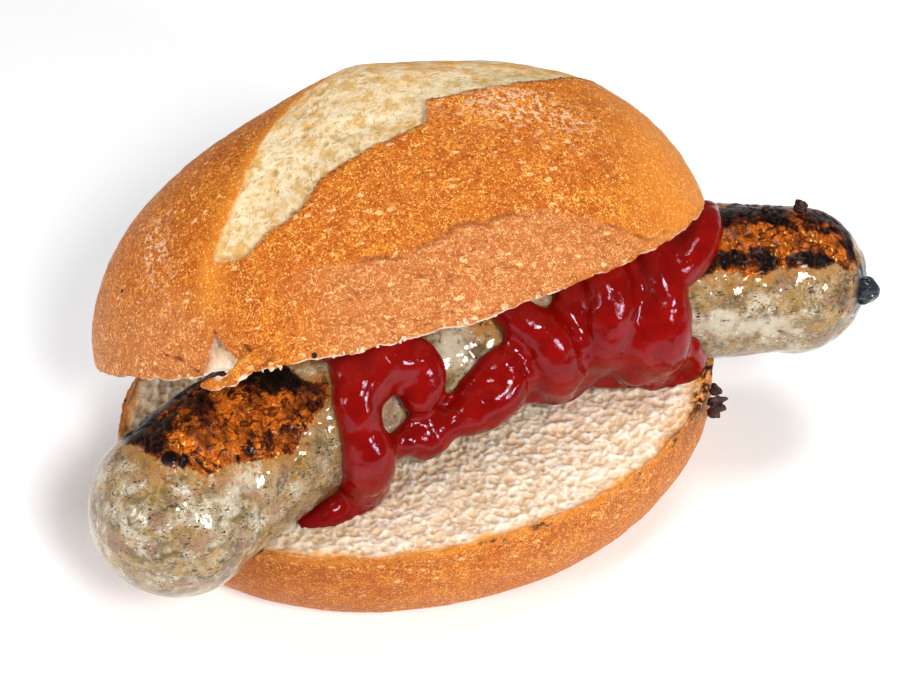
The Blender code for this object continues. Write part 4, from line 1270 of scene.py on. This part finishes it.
            # On the top marks the skin grows black towards the back, under the upper half's rim: char and
            # painted shade.
            dark = np.maximum(dark, smooth(8, -20, off) * (centre == 0))
        corner = smooth(17 * MM, 26 * MM, distance) * smooth(34, 14, angle + 8 * grain(grid, 4 * MM, 80))
        lower = angle + 5 * grain(grid, 6 * MM, 77)
        dark = np.maximum(dark, corner * (distance < 0.040))
        dark = np.maximum(dark, smooth(12, 4, np.abs(lower - 27)) * (distance > 0.112))
        return depth, dark

    @staticmethod
    def seared(grid, distance, angle):
        """Fine dark veins that run along the seared skin, and blots on it."""
        folded = np.stack([distance + 0 * angle, np.radians(angle) * MARK_RADIUS * 0.45, 0 * angle], -1)
        folded = folded + 0.5 * MM * np.stack([grain(grid, 3 * MM, seed) for seed in (81, 82, 83)], -1)
        veins = smooth(0.30, 0.95, 1 - np.abs(crags(folded, 2.6 * MM, 3, 75)) * 2.8)
        return veins, crags(grid, 3.4 * MM, 5, 76)


class BRATWURST_OT_ketchup(bpy.types.Operator):
    """Make the ketchup"""
    bl_idname = "bratwurst.ketchup"
    bl_label = "Ketchup"

    def execute(self, context):
        """Round runs along paths on the sausage, melted into one skin and kept clear of the food."""
        settings = context.scene.bratwurst_sauce
        grids = []
        for run in RUNS.values():
            path = [[*on_casing(along, angle, lift), radius + settings.fillet]
                    for along, angle, lift, radius in run]
            grids.append(tube(smooth_path(path, 0.5 * MM)))
        sauce = solid("ketchup_runs", *joined(grids), {}, ketchup_finish(settings))
        self.melt(sauce, settings.melt)
        sink = sauce.modifiers.new("sink", "DISPLACE")
        sink.mid_level = 0.0
        sink.strength = -settings.fillet
        self.melt(sauce, settings.melt)
        data = self.baked(sauce)
        co = np.empty(len(data.vertices) * 3)
        out = np.empty_like(co)
        data.vertices.foreach_get("co", co)
        data.vertices.foreach_get("normal", out)
        co = co.reshape(-1, 3)
        wobble = settings.wobble * (0.8 * grain(co, 6 * MM, 91) + crags(co, 3.2 * MM, 2, 92))
        co = co + out.reshape(-1, 3) * wobble[:, None]
        data.vertices.foreach_set("co", self.kept_clear(co).ravel())
        ease = sauce.modifiers.new("ease", "SMOOTH")
        ease.factor = 0.5
        ease.iterations = 7
        data = self.baked(sauce)
        data.shade_smooth()
        sauce.name = "ketchup_sauce"
        put_on(sauce, "ketchup", "ketchup")
        return {"FINISHED"}

    @staticmethod
    def baked(sauce):
        """The sauce's mesh with its modifiers applied, put in the place of the plain one."""
        made = sauce.evaluated_get(bpy.context.evaluated_depsgraph_get())
        material = sauce.data.materials[0]
        data = bpy.data.meshes.new_from_object(made)
        sauce.modifiers.clear()
        sauce.data = data
        data.materials.clear()
        data.materials.append(material)
        return data

    @staticmethod
    def melt(sauce, size):
        """One skin over all that the sauce is made of so far."""
        made = sauce.modifiers.new("melt", "REMESH")
        made.mode = "VOXEL"
        made.voxel_size = size

    @staticmethod
    def kept_clear(points):
        """Points moved out of the casing, up out of the crumb and down from under the upper half."""
        at = nearest(points, LINE)
        off = points - LINE[at]
        gap = np.linalg.norm(off, axis=1)
        reach = casing_radius(at / (len(LINE) - 1) * SAUSAGE_RUN) - 0.25 * MM
        points = LINE[at] + off * np.maximum(1, reach / gap)[:, None]
        crumb = split_height(points[:, 0], points[:, 1]) - 0.6 * MM
        over = ((points[:, 0] / ROLL_LENGTH) ** 2 + (points[:, 1] / ROLL_WIDTH) ** 2) < 0.25
        points[:, 2] = np.where(over, np.maximum(points[:, 2], crumb), points[:, 2])
        pose = lid_pose()
        local = moved(points, pose.inverted())
        under = ((local[:, 0] / LID_LENGTH) ** 2 + (local[:, 1] / LID_WIDTH) ** 2) < 0.25
        local[:, 2] = np.where(under, np.minimum(local[:, 2], 0.4 * MM), local[:, 2])
        return moved(local, pose)


class BRATWURST_OT_stage(bpy.types.Operator):
    """Make the floor, the light and the camera"""
    bl_idname = "bratwurst.stage"
    bl_label = "Stage"

    def execute(self, context):
        settings = context.scene.bratwurst_stage
        half = settings.floor_size / 2
        corners = np.array([(-half, -half, 0), (half, -half, 0), (half, half, 0), (-half, half, 0)])
        made, _, shader, _ = finish("floor", Roughness=0.8, Emission_Color=(1.0, 1.0, 1.0, 1.0),
                                    Emission_Strength=FLOOR_GLOW)
        shader.inputs["Base Color"].default_value = (*settings.floor, 1.0)
        floor = solid("floor", corners - [0, 0, 0.0002], np.arange(4), np.array([4]), {}, made)
        world = bpy.data.worlds.new("studio")
        world.use_nodes = True
        background = world.node_tree.nodes["Background"]
        background.inputs["Color"].default_value = (1.0, 1.0, 1.0, 1.0)
        background.inputs["Strength"].default_value = WORLD_LIGHT
        context.scene.world = world
        for row in LAMPS:
            self.lamp(*row)
        self.camera(context)
        context.scene.view_settings.view_transform = "Standard"
        context.scene.view_settings.gamma = VIEW_GAMMA
        context.scene.view_settings.exposure = VIEW_EXPOSURE
        return {"FINISHED"}

    @staticmethod
    def lamp(name, place, size, power, colour):
        light = bpy.data.lights.new(name, "AREA")
        light.shape = "DISK"
        light.size = size
        light.energy = power
        light.color = colour
        made = bpy.data.objects.new(name, light)
        made.location = place
        made.rotation_euler = (VIEW_TARGET - Vector(place)).to_track_quat("-Z", "Y").to_euler()
        bpy.context.scene.collection.objects.link(made)

    @staticmethod
    def camera(context):
        a, e = math.radians(VIEW_AZIMUTH), math.radians(VIEW_ELEVATION)
        back = Vector((math.sin(a) * math.cos(e), -math.cos(a) * math.cos(e), math.sin(e)))
        lens = bpy.data.cameras.new("camera")
        lens.lens = VIEW_LENS
        lens.sensor_width = 36.0
        lens.shift_x, lens.shift_y = VIEW_SHIFT
        lens.clip_start = 0.01
        made = bpy.data.objects.new("camera", lens)
        made.location = VIEW_TARGET + back * VIEW_DISTANCE
        made.rotation_euler = (-back).to_track_quat("-Z", "Y").to_euler()
        context.scene.collection.objects.link(made)
        context.scene.camera = made


MAKERS = (BRATWURST_OT_lower_crust, BRATWURST_OT_lower_crumb, BRATWURST_OT_upper_crust,
          BRATWURST_OT_upper_crumb, BRATWURST_OT_tongue, BRATWURST_OT_sausage, BRATWURST_OT_ketchup,
          BRATWURST_OT_scraps, BRATWURST_OT_stage)
GROUPS = {"bratwurst_roll": RollSettings, "bratwurst_sausage": SausageSettings,
          "bratwurst_sauce": SauceSettings, "bratwurst_stage": StageSettings}


class BRATWURST_PT_panel(bpy.types.Panel):
    """Lists the makers and their settings"""
    bl_idname = "BRATWURST_PT_panel"
    bl_label = "Bratwurst in a bun"
    bl_space_type = "VIEW_3D"
    bl_region_type = "UI"
    bl_category = "Bratwurst"

    def draw(self, context):
        for maker in MAKERS:
            self.layout.operator(maker.bl_idname)
        for name, group in GROUPS.items():
            box = self.layout.box()
            for key in group.__annotations__:
                box.prop(getattr(context.scene, name), key)


def register():
    for group in GROUPS.values():
        bpy.utils.register_class(group)
    for maker in MAKERS:
        bpy.utils.register_class(maker)
    bpy.utils.register_class(BRATWURST_PT_panel)
    for name, group in GROUPS.items():
        setattr(bpy.types.Scene, name, bpy.props.PointerProperty(type=group))


def unregister():
    for name in GROUPS:
        delattr(bpy.types.Scene, name)
    for made in (BRATWURST_PT_panel, *reversed(MAKERS), *GROUPS.values()):
        bpy.utils.unregister_class(made)


def main():
    register()
    for maker in MAKERS:
        group, name = maker.bl_idname.split(".")
        getattr(getattr(bpy.ops, group), name)()


if __name__ == "__main__":
    main()
